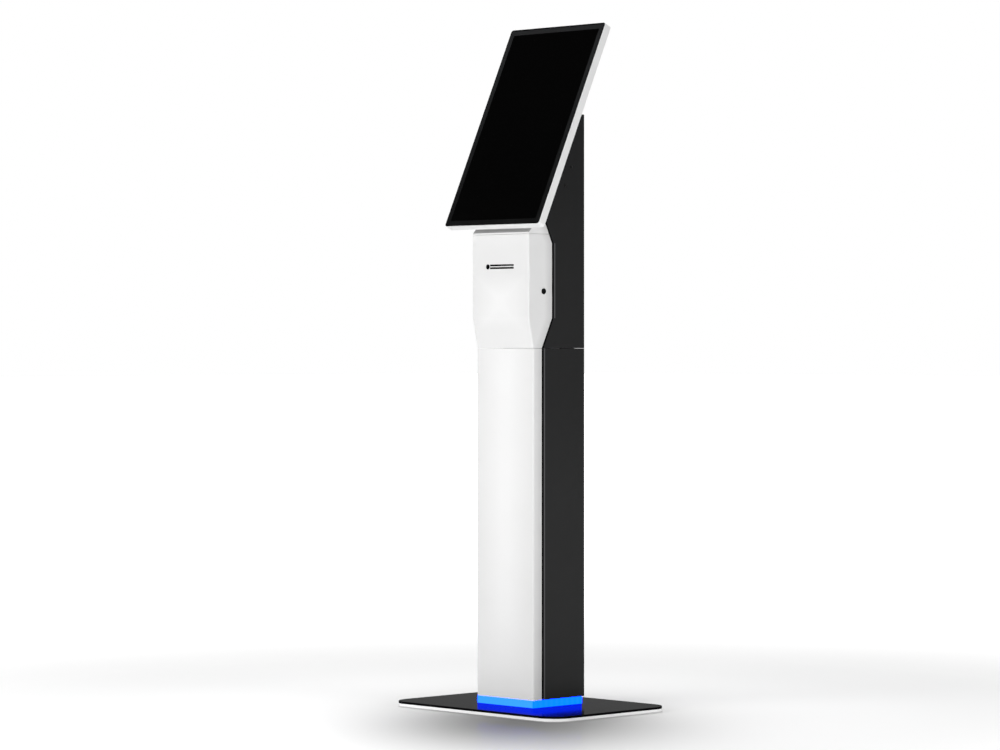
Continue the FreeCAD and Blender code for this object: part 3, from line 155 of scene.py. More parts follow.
class Finish(Graph):
    def __init__(self, name, **values):
        self.material = bpy.data.materials.new(name)
        self.material.use_nodes = True
        super().__init__(self.material.node_tree)
        self.shader = self.tree.nodes["Principled BSDF"]
        self.set(**values)

    def set(self, **values):
        for socket, value in values.items():
            self.feed(self.shader.inputs[socket.replace("_", " ")], value)

    def place(self):
        return self.add("ShaderNodeTexCoord", output="Object")

    def turned(self, origin, tilt):  # object coordinates about a point, turned by a tilt about X
        return self.add("ShaderNodeMapping", {"vector_type": "TEXTURE"},
                        {"Vector": self.place(), "Location": origin, "Rotation": (tilt, 0, 0)})

    def facing(self):  # the three parts of the surface's own direction
        direction = self.add("ShaderNodeTexCoord", output="Normal")
        return [self.axis(direction, name) for name in "XYZ"]

    def corners(self):  # 0 on a face square to the kiosk, about 0.3 in the middle of a rounded corner
        across, ahead, up = self.facing()
        return 1 - abs(across).larger(abs(ahead)).larger(abs(up))

    def noise(self, size, detail=2, rough=0.5, stretch=None):  # size is one blotch in metres
        where = self.place()
        if stretch:
            where = self.add("ShaderNodeMapping", None, {"Vector": where, "Scale": stretch})
        return self.add("ShaderNodeTexNoise", None,
                        {"Vector": where, "Scale": 1 / size, "Detail": detail, "Roughness": rough})

    def uneven(self, middle, *noises):  # a number that each noise moves up and down by half its share
        for noise, share in noises:
            middle = middle + share * (noise - 0.5)
        return middle

    def ramp(self, value, *stops):
        return self.add("ShaderNodeValToRGB", {"stops": stops}, {0: value})

    def mix(self, share, first, second):
        return self.add("ShaderNodeMix", {"data_type": "RGBA"}, {0: share, 6: first, 7: second}, output=2)

    def bump(self, height, depth):  # depth in metres
        return self.add("ShaderNodeBump", None, {"Height": height, "Distance": depth})


def shade(red, green=None, blue=None):
    return (red, red if green is None else green, red if blue is None else blue, 1)


# the white covers end at a seam that steps back on the head, over these heights
seamLine = {"rear": -50.3 * mm, "step": 32.1 * mm, "low": (809.8 * mm, 877.3 * mm),
            "high": (1110.5 * mm, 1043.0 * mm)}


def coverDepth(finish):  # how far a point lies ahead of the seam, and the share of the step at its height
    where = finish.place()
    high = finish.axis(where, "Z")
    step = finish.spread(high, *seamLine["low"]) * finish.spread(high, *seamLine["high"])
    return step * seamLine["step"] + seamLine["rear"] - finish.axis(where, "Y"), step


whitePaint = {
    "specular": 0.22, "roughness": 0.38, "cloudRough": 0.10, "speckRough": 0.05, "wearAndHighlightSmooth": 0.08,
    "colour": shade(0.797), "worn": shade(0.77, 0.77, 0.767), "edge": shade(0.67, 0.67, 0.665),
    "paintedShade": shade(0.635, 0.635, 0.632), "shadedLedge": shade(0.40), "rim": shade(0.93), "slot": shade(0.002),
    "clouds": (180 * mm, 3, 0.6), "specks": (0.5 * mm, 2, 0.6), "peel": (1.3 * mm, 3, 0.55),
    "peelSpecks": 0.15, "peelDepth": 0.010 * mm,
    "cloudy": ((0.4, 0.0), (0.72, 0.5)), "wearAndHighlight": ((0.10, 0.0), (0.30, 0.8)), "ragged": 0.12,
    "square": 0.8, "sloping": 0.4, "rimTop": 20 * mm, "rimRubbed": 0.35,
    "seamShadeWide": 24 * mm, "seamShadeFade": ((0.0, 0.5), (0.06, 1.0), (1.0, 0.0)), "seamShadeUneven": 0.1,
    "sideReach": 100 * mm, "sideGrey": ((0.12, 0.0), (0.86, 0.52)), "shadeAboveFoot": (0.06, 0.24),
    "topGrey": (0.925, 0.975, 0.0, 0.52), "slantGrey": (0.900, 0.850, 0.0, 0.42), "doorFoot": 0.8101,
    "slotHigh": 991.5 * mm, "slotMiddle": 5.5 * mm, "slotHalf": 37.8 * mm, "slotOut": 5.1 * mm,
    "slotIn": 1.0 * mm,
}


def whitePowder():
    look = whitePaint
    finish = Finish("white powder coat", Specular_IOR_Level=look["specular"])
    clouds, specks = finish.noise(*look["clouds"]), finish.noise(*look["specks"])
    wearAndHighlight = finish.ramp(finish.corners() + look["ragged"] * (specks - 0.5), *look["wearAndHighlight"])
    coat = finish.mix(finish.ramp(clouds, *look["cloudy"]), look["colour"], look["worn"])
    across, forward, up = finish.facing()
    where = finish.place()
    beside, high = finish.axis(where, "X"), finish.axis(where, "Z")
    nearSeam = coverDepth(finish)[0] * (1 / look["seamShadeWide"])  # painted shade: side walls darken a little towards the seam
    seamShade = finish.ramp(nearSeam + look["seamShadeUneven"] * (clouds - 0.5), *look["seamShadeFade"])
    seamShade = seamShade * (abs(across) > look["square"]) * (high > look["rimTop"])
    # painted shade: the front greys at its sides, near its top under the screen and on its slant
    frontShade = finish.ramp(abs(beside) * (1 / look["sideReach"]), *look["sideGrey"])
    frontShade = frontShade * finish.spread(high, *look["shadeAboveFoot"])
    frontShade = frontShade.larger(finish.spread(high, *look["topGrey"]))
    frontShade = frontShade.larger(finish.spread(high, *look["slantGrey"]) * (high > look["doorFoot"]))
    frontShade = frontShade * (forward < -look["square"])
    coat = finish.mix(seamShade.larger(frontShade), coat, look["paintedShade"])
    shadedLedge = (forward < -look["sloping"]) * (up > look["sloping"])  # painted shade on the ledge under the screen's overhang
    coat = finish.mix(shadedLedge, finish.mix(wearAndHighlight, coat, look["edge"]), look["shadedLedge"])
    rim = finish.mix(look["rimRubbed"] * wearAndHighlight, look["rim"], look["edge"])  # painted light: the base plate's rim is painted brighter than the rest of the white
    coat = finish.mix(high < look["rimTop"], coat, rim)
    away = abs(high - look["slotHigh"])  # painted shade: the face just around the paper slots is painted black
    slotShadow = (away < look["slotOut"]) * (away > look["slotIn"])
    slotShadow = slotShadow * (abs(beside - look["slotMiddle"]) < look["slotHalf"])
    finish.set(Base_Color=finish.mix(slotShadow, coat, look["slot"]))
    rough = finish.uneven(look["roughness"], (clouds, look["cloudRough"]), (specks, look["speckRough"]))
    finish.set(Roughness=rough - look["wearAndHighlightSmooth"] * wearAndHighlight)
    peel = finish.noise(*look["peel"]) + look["peelSpecks"] * specks
    finish.set(Normal=finish.bump(peel, look["peelDepth"]))
    return finish.material


darkPaint = {
    "specular": 0.10, "roughness": 0.46, "cloudRough": 0.16, "grainRough": 0.10, "wearAndHighlightSmooth": 0.08,
    "colour": shade(0.0085, 0.0087, 0.0090), "pale": shade(0.0130, 0.0131, 0.0135),
    "gap": shade(0.0008), "lowTone": shade(0.024, 0.0242, 0.0245), "line": shade(0.105, 0.106, 0.108),
    "grain": (0.55 * mm, 3, 0.6), "grainDepth": 0.022 * mm, "paleGrain": ((0.45, 0.0), (0.8, 0.9)),
    "clouds": (240 * mm, 2, 0.5),
    "lowToneScale": 0.75, "lowToneLeast": 0.7, "lowToneClouds": 0.4,
    "lowToneHeights": ((0.01, 0.2), (0.05, 0.95), (0.20, 0.9), (0.36, 0.85), (0.53, 0.45), (0.72, 0.35),
                    (0.92, 0.0)),
    "lineBack": 8.8 * mm, "lineWide": 2.1 * mm, "lineTop": 1.045, "lineRagged": 0.2,
    "lineFade": ((0.1, 0.0), (0.6, 1.0)), "noStep": 0.01, "fullStep": 0.99,
    "gapDeep": 6.2 * mm, "gapFacing": 0.35,
}


def darkPowder():
    look = darkPaint
    finish = Finish("dark textured powder coat", Specular_IOR_Level=look["specular"])
    grain, clouds = finish.noise(*look["grain"]), finish.noise(*look["clouds"])
    coat = finish.mix(finish.ramp(grain, *look["paleGrain"]), look["colour"], look["pale"])
    high = finish.axis(finish.place(), "Z")
    lowToneShare = finish.ramp(high * look["lowToneScale"], *look["lowToneHeights"])  # paler lower down, less so at the very foot
    lowToneShare = lowToneShare * (look["lowToneLeast"] + look["lowToneClouds"] * clouds)
    coat = finish.mix(lowToneShare, coat, look["lowTone"])
    ahead, step = coverDepth(finish)
    upright = (step < look["noStep"]).larger(step > look["fullStep"]) * (high < look["lineTop"])
    near = 1 - abs(ahead + look["lineBack"]) * (1 / look["lineWide"])  # painted highlight: a thin pale line behind the upright folds
    wearAndHighlight = finish.ramp(near * upright + look["lineRagged"] * (grain - 0.5), *look["lineFade"])
    # painted shade: black where the body faces forward and in the gap behind the covers
    gapShadow = (finish.facing()[1] < -look["gapFacing"]).larger((ahead > -look["gapDeep"]) * upright)
    finish.set(Base_Color=finish.mix(gapShadow, finish.mix(wearAndHighlight, coat, look["line"]), look["gap"]))
    rough = finish.uneven(look["roughness"], (clouds, look["cloudRough"]), (grain, look["grainRough"]))
    finish.set(Roughness=rough - look["wearAndHighlightSmooth"] * wearAndHighlight)
    finish.set(Normal=finish.bump(grain, look["grainDepth"]))
    return finish.material


plateTop = {
    "metal": 0.32, "tint": shade(0.1), "roughness": 0.13, "smearRough": 0.06, "grainRough": 0.02,
    "colour": shade(0.0035, 0.0036, 0.0038), "smeared": shade(0.0060, 0.0062, 0.0066),
    "smears": (60 * mm, 4, 0.6, (1, 2.2, 1)), "smearShare": ((0.45, 0.0), (0.75, 1.0)),
    "grain": (0.7 * mm, 2, 0.5), "grainDepth": 0.006 * mm, "specular": 0.0,
}


def blackPlate():
    look = plateTop
    finish = Finish("black gloss plate", Metallic=look["metal"], Specular_Tint=look["tint"],
                    Specular_IOR_Level=look["specular"])
    grain, smears = finish.noise(*look["grain"]), finish.noise(*look["smears"])
    smeared = finish.ramp(smears, *look["smearShare"])
    finish.set(Base_Color=finish.mix(smeared, look["colour"], look["smeared"]))
    finish.set(Roughness=finish.uneven(look["roughness"], (smears, look["smearRough"]),
                                       (grain, look["grainRough"])))
    finish.set(Normal=finish.bump(grain, look["grainDepth"]))
    return finish.material


foam = {"specular": 0.02, "colour": shade(0.0006), "pale": shade(0.0022), "roughness": 0.66,
        "grain": (0.8 * mm, 3, 0.6), "grainRough": 0.14, "grainDepth": 0.03 * mm}


def blackFoam():
    finish = Finish("matt black plastic", Specular_IOR_Level=foam["specular"])
    grain = finish.noise(*foam["grain"])
    finish.set(Base_Color=finish.mix(grain, foam["colour"], foam["pale"]))
    finish.set(Roughness=finish.uneven(foam["roughness"], (grain, foam["grainRough"])))
    finish.set(Normal=finish.bump(grain, foam["grainDepth"]))
    return finish.material


band = {
    "front": (0.045, 0.375, 14.0, 1), "side": (0.0005, 0.265, 14.0, 1), "lamp": (0.048, 0.385, 14.0, 1),
    "unlit": (0.0005, 0.02, 0.10, 1), "specular": 0.04, "roughness": 0.3, "clouds": (3 * mm, 2),
    "cloudRough": 0.1, "lampWaves": 380.0, "lampShare": 0.05, "sideReach": 100 * mm,
    "turnToSide": ((0.86, 0.0), (0.885, 1.0)),
}


def litOpal():
    finish = Finish("lit opal acrylic", Base_Color=band["unlit"], Emission_Strength=1.0,
                    Specular_IOR_Level=band["specular"])
    where = finish.place()
    beside, behind = abs(finish.axis(where, "X")), finish.axis(where, "Y")
    lamps = ((beside + behind) * band["lampWaves"]).sine()  # the lamps behind show as a faint wave
    # painted light: the front glows paler than the side, standing in for lamplight falling on the front
    side = finish.ramp(beside * (1 / band["sideReach"]), *band["turnToSide"])
    glow = finish.mix(side, band["front"], band["side"])
    finish.set(Emission_Color=finish.mix(band["lampShare"] + band["lampShare"] * lamps, glow, band["lamp"]))
    finish.set(Roughness=band["roughness"] + band["cloudRough"] * finish.noise(*band["clouds"]))
    return finish.material


# bare metals: spangle is the size of one patch of colour, and the fine scratches are a share of that
metals = {
    "zinc": {"name": "zinc plated steel", "colour": shade(0.46, 0.47, 0.49), "worn": shade(0.60, 0.61, 0.62),
             "roughness": 0.36, "spangle": 9 * mm},
    "dark_screws": {"name": "blackened screws", "colour": shade(0.010), "worn": shade(0.020),
                    "roughness": 0.34, "spangle": 2 * mm},
    "chrome": {"name": "dark chrome", "colour": shade(0.006), "worn": shade(0.012),
               "roughness": 0.26, "spangle": 3 * mm},
    "alloy": {"name": "brushed alloy", "colour": shade(0.70, 0.71, 0.73), "worn": shade(0.80, 0.81, 0.82),
              "roughness": 0.3, "spangle": 2 * mm, "stretch": (0.05, 1, 1)},
    "motor": {"name": "motor can", "colour": shade(0.34, 0.34, 0.35), "worn": shade(0.45, 0.45, 0.46),
              "roughness": 0.3, "spangle": 3 * mm},
}
plating = {"spangle": (3, 0.6), "spangleRough": 0.22, "fineShare": 0.12, "fine": (2, 0.5), "fineRough": 0.08,
           "depth": 0.008 * mm}


def barePlating(look):
    finish = Finish(look["name"], Metallic=1.0)
    stretch = look.get("stretch")
    spangle = finish.noise(look["spangle"], *plating["spangle"], stretch)
    fine = finish.noise(look["spangle"] * plating["fineShare"], *plating["fine"], stretch)
    finish.set(Base_Color=finish.mix(spangle, look["colour"], look["worn"]))
    finish.set(Roughness=finish.uneven(look["roughness"], (spangle, plating["spangleRough"]),
                                       (fine, plating["fineRough"])))
    finish.set(Normal=finish.bump(fine, plating["depth"]))
    return finish.material


plastics = {
    "panel": {"name": "display panel back", "colour": shade(0.010), "worn": shade(0.016),
              "roughness": 0.5, "spark": 1 * mm, "depth": 0.01 * mm},
    "black_plastic": {"name": "black moulded plastic", "colour": shade(0.014), "worn": shade(0.022),
                      "roughness": 0.5, "spark": 0.6 * mm, "depth": 0.02 * mm},
    "grey_plastic": {"name": "grey moulded plastic", "colour": shade(0.13, 0.135, 0.14),
                     "worn": shade(0.17, 0.175, 0.18), "roughness": 0.45, "spark": 0.6 * mm,
                     "depth": 0.02 * mm},
    "gear_plastic": {"name": "natural gear plastic", "colour": shade(0.72, 0.70, 0.63),
                     "worn": shade(0.62, 0.60, 0.53), "roughness": 0.4, "spark": 0.8 * mm,
                     "depth": 0.01 * mm},
}
mould = {"spark": (3, 0.6), "sparkRough": 0.08, "clouds": (25 * mm, 2), "cloudRough": 0.15}


def mouldedPlastic(look):
    finish = Finish(look["name"])
    spark, clouds = finish.noise(look["spark"], *mould["spark"]), finish.noise(*mould["clouds"])
    finish.set(Base_Color=finish.mix(clouds, look["colour"], look["worn"]))
    finish.set(Roughness=finish.uneven(look["roughness"], (clouds, mould["cloudRough"]),
                                       (spark, mould["sparkRough"])))
    finish.set(Normal=finish.bump(spark, look["depth"]))
    return finish.material


rubber = {"pore": 0.5 * mm, "poreDepth": 0.02 * mm, "poreMiddle": 0.4, "poreRough": 0.12, "roughness": 0.72,
          "clouds": 6 * mm, "colour": shade(0.012), "pale": shade(0.022)}


def dimpledRubber():
    finish = Finish("black rubber")
    pores = finish.add("ShaderNodeTexVoronoi", None, {"Vector": finish.place(), "Scale": 1 / rubber["pore"]})
    finish.set(Base_Color=finish.mix(finish.noise(rubber["clouds"]), rubber["colour"], rubber["pale"]))
    finish.set(Roughness=rubber["roughness"] + rubber["poreRough"] * (pores - rubber["poreMiddle"]))
    finish.set(Normal=finish.bump(pores, rubber["poreDepth"]))
    return finish.material


board = {"origin": (0, 0, 1.2), "tilt": math.radians(-25), "tracks": 90.0, "line": 0.012, "depth": 0.03 * mm,
         "mask": (0.008, 0.075, 0.028, 1), "track": (0.02, 0.16, 0.06, 1), "patches": 0.15,
         "roughness": 0.35, "clouds": 3 * mm, "cloudRough": 0.2}


def circuitBoard():
    finish = Finish("green circuit board")
    tracks = finish.add("ShaderNodeTexBrick", None,
                        {"Vector": finish.turned(board["origin"], board["tilt"]), "Scale": board["tracks"],
                         "Color1": shade(0), "Color2": shade(board["patches"]), "Mortar": shade(1),
                         "Mortar Size": board["line"]})
    finish.set(Base_Color=finish.mix(tracks, board["mask"], board["track"]))
    finish.set(Roughness=board["roughness"] + board["cloudRough"] * finish.noise(board["clouds"]))
    finish.set(Normal=finish.bump(tracks, board["depth"]))
    return finish.material


tape = {"colour": shade(0.7), "between": (0.0, 0.03, 0.35, 1), "chip": (0.1, 0.5, 1.0, 1), "chipWaves": 520.0,
        "chipFade": ((0.55, 0.0), (0.8, 1.0)), "roughness": 0.5, "clouds": 2 * mm, "cloudRough": 0.1}


def tapeStrip():
    finish = Finish("led tape", Base_Color=tape["colour"], Emission_Strength=1.0)
    where = finish.place()
    chips = ((finish.axis(where, "X") + finish.axis(where, "Y")) * tape["chipWaves"]).sine()
    glow = finish.ramp(chips, *tape["chipFade"])
    finish.set(Emission_Color=finish.mix(glow, tape["between"], tape["chip"]))
    finish.set(Roughness=tape["roughness"] + tape["cloudRough"] * finish.noise(tape["clouds"]))
    return finish.material


roll = {
    "axis": (0, -31.5 * mm, 893 * mm), "core": 9.2 * mm, "roughness": 0.62, "depth": 0.02 * mm,
    "layerWaves": 9000.0, "layerShare": 0.12, "layerHeight": 0.6,
    "fibres": (0.6 * mm, 4, 0.7, (0.2, 1, 1)), "fibreShare": 0.5, "fibreRough": 0.1,
    "paper": shade(0.78, 0.78, 0.76), "shaded": shade(0.70, 0.70, 0.685),
    "card": (0.26, 0.19, 0.13, 1), "cardFibre": (0.20, 0.145, 0.10, 1),
}


def thermalPaper():
    finish = Finish("thermal paper")
    away = finish.add("ShaderNodeVectorMath", {"operation": "SUBTRACT"}, {0: finish.place(), 1: roll["axis"]})
    flat = finish.add("ShaderNodeVectorMath", {"operation": "MULTIPLY"}, {0: away, 1: (0, 1, 1)})
    radius = finish.length(flat)
    layers = (radius * roll["layerWaves"]).sine()
    fibres = finish.noise(*roll["fibres"])
    streaks = roll["fibreShare"] * fibres + roll["layerShare"] * layers
    paper = finish.mix(streaks, roll["paper"], roll["shaded"])
    card = finish.mix(fibres, roll["card"], roll["cardFibre"])
    finish.set(Base_Color=finish.mix(radius < roll["core"], paper, card))
    finish.set(Roughness=finish.uneven(roll["roughness"], (fibres, roll["fibreRough"])))
    finish.set(Normal=finish.bump(fibres + roll["layerHeight"] * layers, roll["depth"]))
    return finish.material


screen = {
    "foot": (0.0, -0.1199, 1.0831), "lean": math.radians(25), "wide": 0.299, "tall": 0.500,
    "printed": 13.5 * mm, "edge": 2.2 * mm, "rim": 2.6 * mm, "specular": 0.2,
    "border": shade(0.0125, 0.0128, 0.0135), "speckle": shade(0.017, 0.0174, 0.018), "black": shade(0.0003),
    "speckles": (0.4 * mm, 2, 0.5), "borderReflection": ((0.0, 0.75), (0.28, 0.3), (0.42, 0.0)), "borderRough": 1.6,
    "smears": (45 * mm, 4, 0.6, (1, 1, 1.8)), "smearRough": ((0.35, 0.045), (0.8, 0.11)),
}


def printedGlass():
    look = screen
    finish = Finish("touch glass", Specular_IOR_Level=look["specular"])
    flat = finish.turned(look["foot"], -look["lean"])
    halfWide, halfTall = look["wide"] / 2, look["tall"] / 2
    across, along = abs(finish.axis(flat, "X")), finish.axis(flat, "Z")
    up = abs(along - halfTall)
    inside = (across < halfWide - look["printed"]) * (up < halfTall - look["printed"])
    edge = (across > halfWide - look["edge"]).larger(up > halfTall - look["edge"])
    border = finish.mix(finish.noise(*look["speckles"]), look["border"], look["speckle"])
    # painted reflection: the printed border is painted lighter towards the top of the glass
    border = finish.mix(finish.ramp(along, *look["borderReflection"]), border, look["black"])
    finish.set(Base_Color=finish.mix(inside.larger(edge), border, look["black"]))
    smeared = finish.ramp(finish.noise(*look["smears"]), *look["smearRough"])
    finish.set(Roughness=smeared * (1.0 + look["borderRough"] * (1 - inside)))
    return finish.material


casePaint = {"colour": shade(0.835), "worn": shade(0.80, 0.80, 0.797), "rim": shade(0.86), "rimSmooth": 0.12,
             "clouds": (120 * mm, 3, 0.6), "cloudy": ((0.4, 0.0), (0.72, 1.0))}


def paleLitWhiteCase():  # the screen's case has the covers' paint, painted a paler white as painted light, with a painted highlight where its front edge frames the glass
    look = casePaint
    finish = Finish("white screen case")
    back = finish.axis(finish.turned(screen["foot"], -screen["lean"]), "Y")
    clouds = finish.noise(*look["clouds"])
    rimHighlight = back < screen["rim"]
    coat = finish.mix(finish.ramp(clouds, *look["cloudy"]), look["colour"], look["worn"])
    finish.set(Base_Color=finish.mix(rimHighlight, coat, look["rim"]))
    rough = finish.uneven(whitePaint["roughness"], (clouds, whitePaint["cloudRough"]))
    finish.set(Roughness=rough - look["rimSmooth"] * rimHighlight)
    finish.set(Normal=finish.bump(finish.noise(*whitePaint["peel"]), whitePaint["peelDepth"]))
    return finish.material


slots = {
    "white_paint": whitePowder(), "dark_paint": darkPowder(), "black_gloss": blackPlate(),
    "spacer": blackFoam(), "opal": litOpal(), "tape": tapeStrip(), "glass": printedGlass(),
    "rubber": dimpledRubber(), "board": circuitBoard(), "paper": thermalPaper(),
}
for slot, look in metals.items():
    slots[slot] = barePlating(look)
for slot, look in plastics.items():
    slots[slot] = mouldedPlastic(look)
cadSlots = {}
for name, node in nodes.items():
    cadSlots[name] = node.material_slots[0].name
    for held in node.material_slots:
        held.material = slots[held.name.split(".")[0]]
print("stage 2: finishes made,", len(slots))


# copies of the CAD pieces with their corners softened as real bends, castings and coats are

rounding = {"flat": math.radians(0.5), "merge": 0.01 * mm, "grid": 38 * mm, "gridMerge": 0.0001 * mm,
            "segments": 3, "corner": math.radians(19), "weight": 90}


def mergedCopy(name):
    shape = bmesh.new()
    shape.from_mesh(nodes[name].data)
    bmesh.ops.remove_doubles(shape, verts=shape.verts, dist=rounding["merge"])
    bmesh.ops.dissolve_limit(shape, angle_limit=rounding["flat"], verts=shape.verts, edges=shape.edges)
    bmesh.ops.triangulate(shape, faces=shape.faces, quad_method="BEAUTY", ngon_method="BEAUTY")
    return shape


def cutToGrid(shape):  # so that no long thin face runs from a hole to a far edge
    for axis in range(3):
        places = [corner.co[axis] for corner in shape.verts]
        low, wide = min(places), max(places) - min(places)
        cuts = int(wide / rounding["grid"]) + 1
        for step in range(1, cuts):
            spot, way = Vector((0, 0, 0)), Vector((0, 0, 0))
            spot[axis], way[axis] = low + wide * step / cuts, 1
            bmesh.ops.bisect_plane(shape, geom=shape.verts[:] + shape.edges[:] + shape.faces[:],
                                   dist=rounding["gridMerge"], plane_co=spot, plane_no=way)


def finishPiece(name, shape, like, replaced=True):  # rides, and takes its finish, as the CAD node like does
    mesh = bpy.data.meshes.new(name)
    shape.to_mesh(mesh)
    shape.free()
    mesh.materials.append(slots[cadSlots[like]])
    piece = bpy.data.objects.new(name, mesh)
    bpy.context.scene.collection.objects.link(piece)
    for face in mesh.polygons:
        face.use_smooth = True
    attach(piece, nodes[like]["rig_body"])
    if replaced:
        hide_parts(like)
    return piece


def soften(piece, width):
    bevel = piece.modifiers.new("rounding", "BEVEL")
    bevel.width = width
    bevel.segments = rounding["segments"]
    bevel.limit_method = "ANGLE"
    bevel.angle_limit = rounding["corner"]
    bevel.use_clamp_overlap = True
    bevel.miter_outer = "MITER_ARC"
    weights = piece.modifiers.new("flat faces", "WEIGHTED_NORMAL")
    weights.keep_sharp = True
    weights.weight = rounding["weight"]


softened = {  # the width of each piece's rounding in millimetres
    "base_plate": 0.8, "base_cover": 0.6, "lower_cover": 0.5, "lower_body": 0.5, "upper_body": 0.5,
    "door": 0.5, "collar": 0.5, "screen_case": 0.35, "light_diffuser": 0.5, "cover_glass": 0.4,
    "outlet_guide": 0.2, "mains_inlet": 0.5, "power_rocker": 0.4, "electronics_pod": 0.8,
    "column_frame": 0.4, "head_cradle": 0.3, "printer_shelf": 0.3, "printer_chassis": 0.3,
    "printer_lid": 0.4, "cutter_housing": 0.4, "power_supply": 0.5, "screen_carrier": 0.3,
    "lock_body": 0.25, "lock_plug": 0.2, "lock_cam": 0.2, "lock_keeper": 0.3, "door_hinge_leaves": 0.2,
    "body_hinge_leaves": 0.2, "band_core": 0.3, "column_spacers": 0.4, "head_spacers": 0.2,
    "cover_clips": 0.2, "display_panel": 0.5, "print_head": 0.3,
}
for name, width in softened.items():
    shape = mergedCopy(name)
    cutToGrid(shape)
    piece = finishPiece(name + "_soft", shape, name)
    soften(piece, width * mm)
    if name == "screen_case":
        piece.data.materials[0] = paleLitWhiteCase()
print("stage 3: corners softened on", len(softened), "pieces")


# turned parts: rings of points bridged from end to end, round or with flats

turned = {"sides": 24, "fineSides": 40, "crisp": math.radians(35), "hexagon": 6}


def stackRings(shape, rings, segments, place):  # a ring is (radius, height), or (radius, height, flats)
    made, loops = [], []
    for radius, height, *flats in rings:
        ring = bmesh.ops.create_circle(shape, radius=radius, segments=segments)["verts"]
        for corner in ring:
            if flats:
                half = math.pi / flats[0]
                turn = math.atan2(corner.co.y, corner.co.x) % (2 * half) - half
                corner.co.xy *= math.cos(half) / math.cos(turn)
            corner.co.z = height
        made += ring
        loops.append(list({edge for corner in ring for edge in corner.link_edges}))
    for first, second in zip(loops, loops[1:]):
        bmesh.ops.bridge_loops(shape, edges=first + second)
    for end in (loops[0], loops[-1]):
        bmesh.ops.edgeloop_fill(shape, edges=end)
    bmesh.ops.transform(shape, matrix=place, verts=made)


def domeRings(radius, foot, tall, angles):
    turns = [math.radians(angle) for angle in angles]
    return [(radius * math.cos(turn), foot + tall * math.sin(turn)) for turn in turns]


def crisp(shape):  # outward faces, and a hard line wherever two faces meet at a clear angle
    bmesh.ops.recalc_face_normals(shape, faces=shape.faces)
    for edge in shape.edges:
        if len(edge.link_faces) == 2 and edge.calc_face_angle(0) > turned["crisp"]:
            edge.smooth = False


def islandBoxes(name):  # the lowest and highest corner of each separate solid of a CAD node
    shape = mergedCopy(name)
    left = set(shape.verts)
    boxes = []
    while left:
        found = [left.pop()]
        for corner in found:
            for edge in corner.link_edges:
                other = edge.other_vert(corner)
                if other in left:
                    left.discard(other)
                    found.append(other)
        low = Vector([min(corner.co[axis] for corner in found) for axis in range(3)])
        high = Vector([max(corner.co[axis] for corner in found) for axis in range(3)])
        boxes.append((low, high))
    shape.free()
    return boxes


def facingPlace(spot, out):  # stands a part that is drawn along Z at a spot, with its head towards out
    return Matrix.Translation(spot) @ Vector(out).to_track_quat("Z", "Y").to_matrix().to_4x4()


screws = {
    "side_screws": {"axis": 0, "head": 3.2 * mm, "tall": 1.2 * mm, "shank": 1.95 * mm, "socket": 1.45 * mm},
    "rear_screws": {"axis": 1, "head": 3.8 * mm, "tall": 1.8 * mm, "shank": 1.9 * mm, "socket": 1.45 * mm},
}
button = {  # shares of the head's radius and height, of the socket's radius and of the screw's length
    "crown": ((0.98, 0), (1, 0.12), (1, 0.3), (0.93, 0.62), (0.80, 0.85), (0.62, 0.98)),
    "socket": ((1.12, 1), (1, 0.94), (1, 0.25)), "drilled": (0.4, 0.1),
    "shank": 0.94, "point": 0.02, "pointWide": 0.7, "neck": 0.05 * mm,
}


def buttonScrew(shape, look, length, place):  # z 0 is under the head
    head, tall, shank, socket = look["head"], look["tall"], look["shank"], look["socket"]
    deep = tall - length * button["shank"]
    rings = [(shank * button["pointWide"], deep - button["point"] * length), (shank, deep),
             (shank, -button["neck"])]
    rings += [(head * wide, tall * up) for wide, up in button["crown"]]
    rings += [(socket * wide, tall * up, turned["hexagon"]) for wide, up in button["socket"]]
    rings.append((socket * button["drilled"][0], tall * button["drilled"][1]))
    stackRings(shape, rings, turned["sides"], place)


for name, look in screws.items():
    shape = bmesh.new()
    for low, high in islandBoxes(name):
        middle = (low + high) / 2
        axis = look["axis"]
        out = Vector((0, 0, 0))
        out[axis] = 1.0 if axis == 1 or middle.x > 0 else -1.0
        spot = middle.copy()
        spot[axis] = (high[axis] if out[axis] > 0 else low[axis]) - out[axis] * look["tall"]
        buttonScrew(shape, look, high[axis] - low[axis], facingPlace(spot, out))
    crisp(shape)
    finishPiece(name + "_turned", shape, name)

feet = {"top": 15.0 * mm, "bottom": 14.0 * mm, "hollow": 9.0 * mm, "deep": 0.5 * mm, "ease": 0.4 * mm,
        "taper": (0.6, 0.1)}
shape = bmesh.new()
for low, high in islandBoxes("rubber_feet"):
    tall = high.z - low.z
    rings = [(feet["top"], tall), (feet["top"], tall * feet["taper"][0]),
             (feet["bottom"] + feet["ease"], tall * feet["taper"][1]), (feet["bottom"], 0),
             (feet["hollow"], 0), (feet["hollow"] - feet["ease"], feet["deep"])]
    middle = (low + high) / 2
    stackRings(shape, rings, turned["fineSides"], Matrix.Translation((middle.x, middle.y, low.z)))
crisp(shape)
finishPiece("rubber_feet_turned", shape, "rubber_feet")

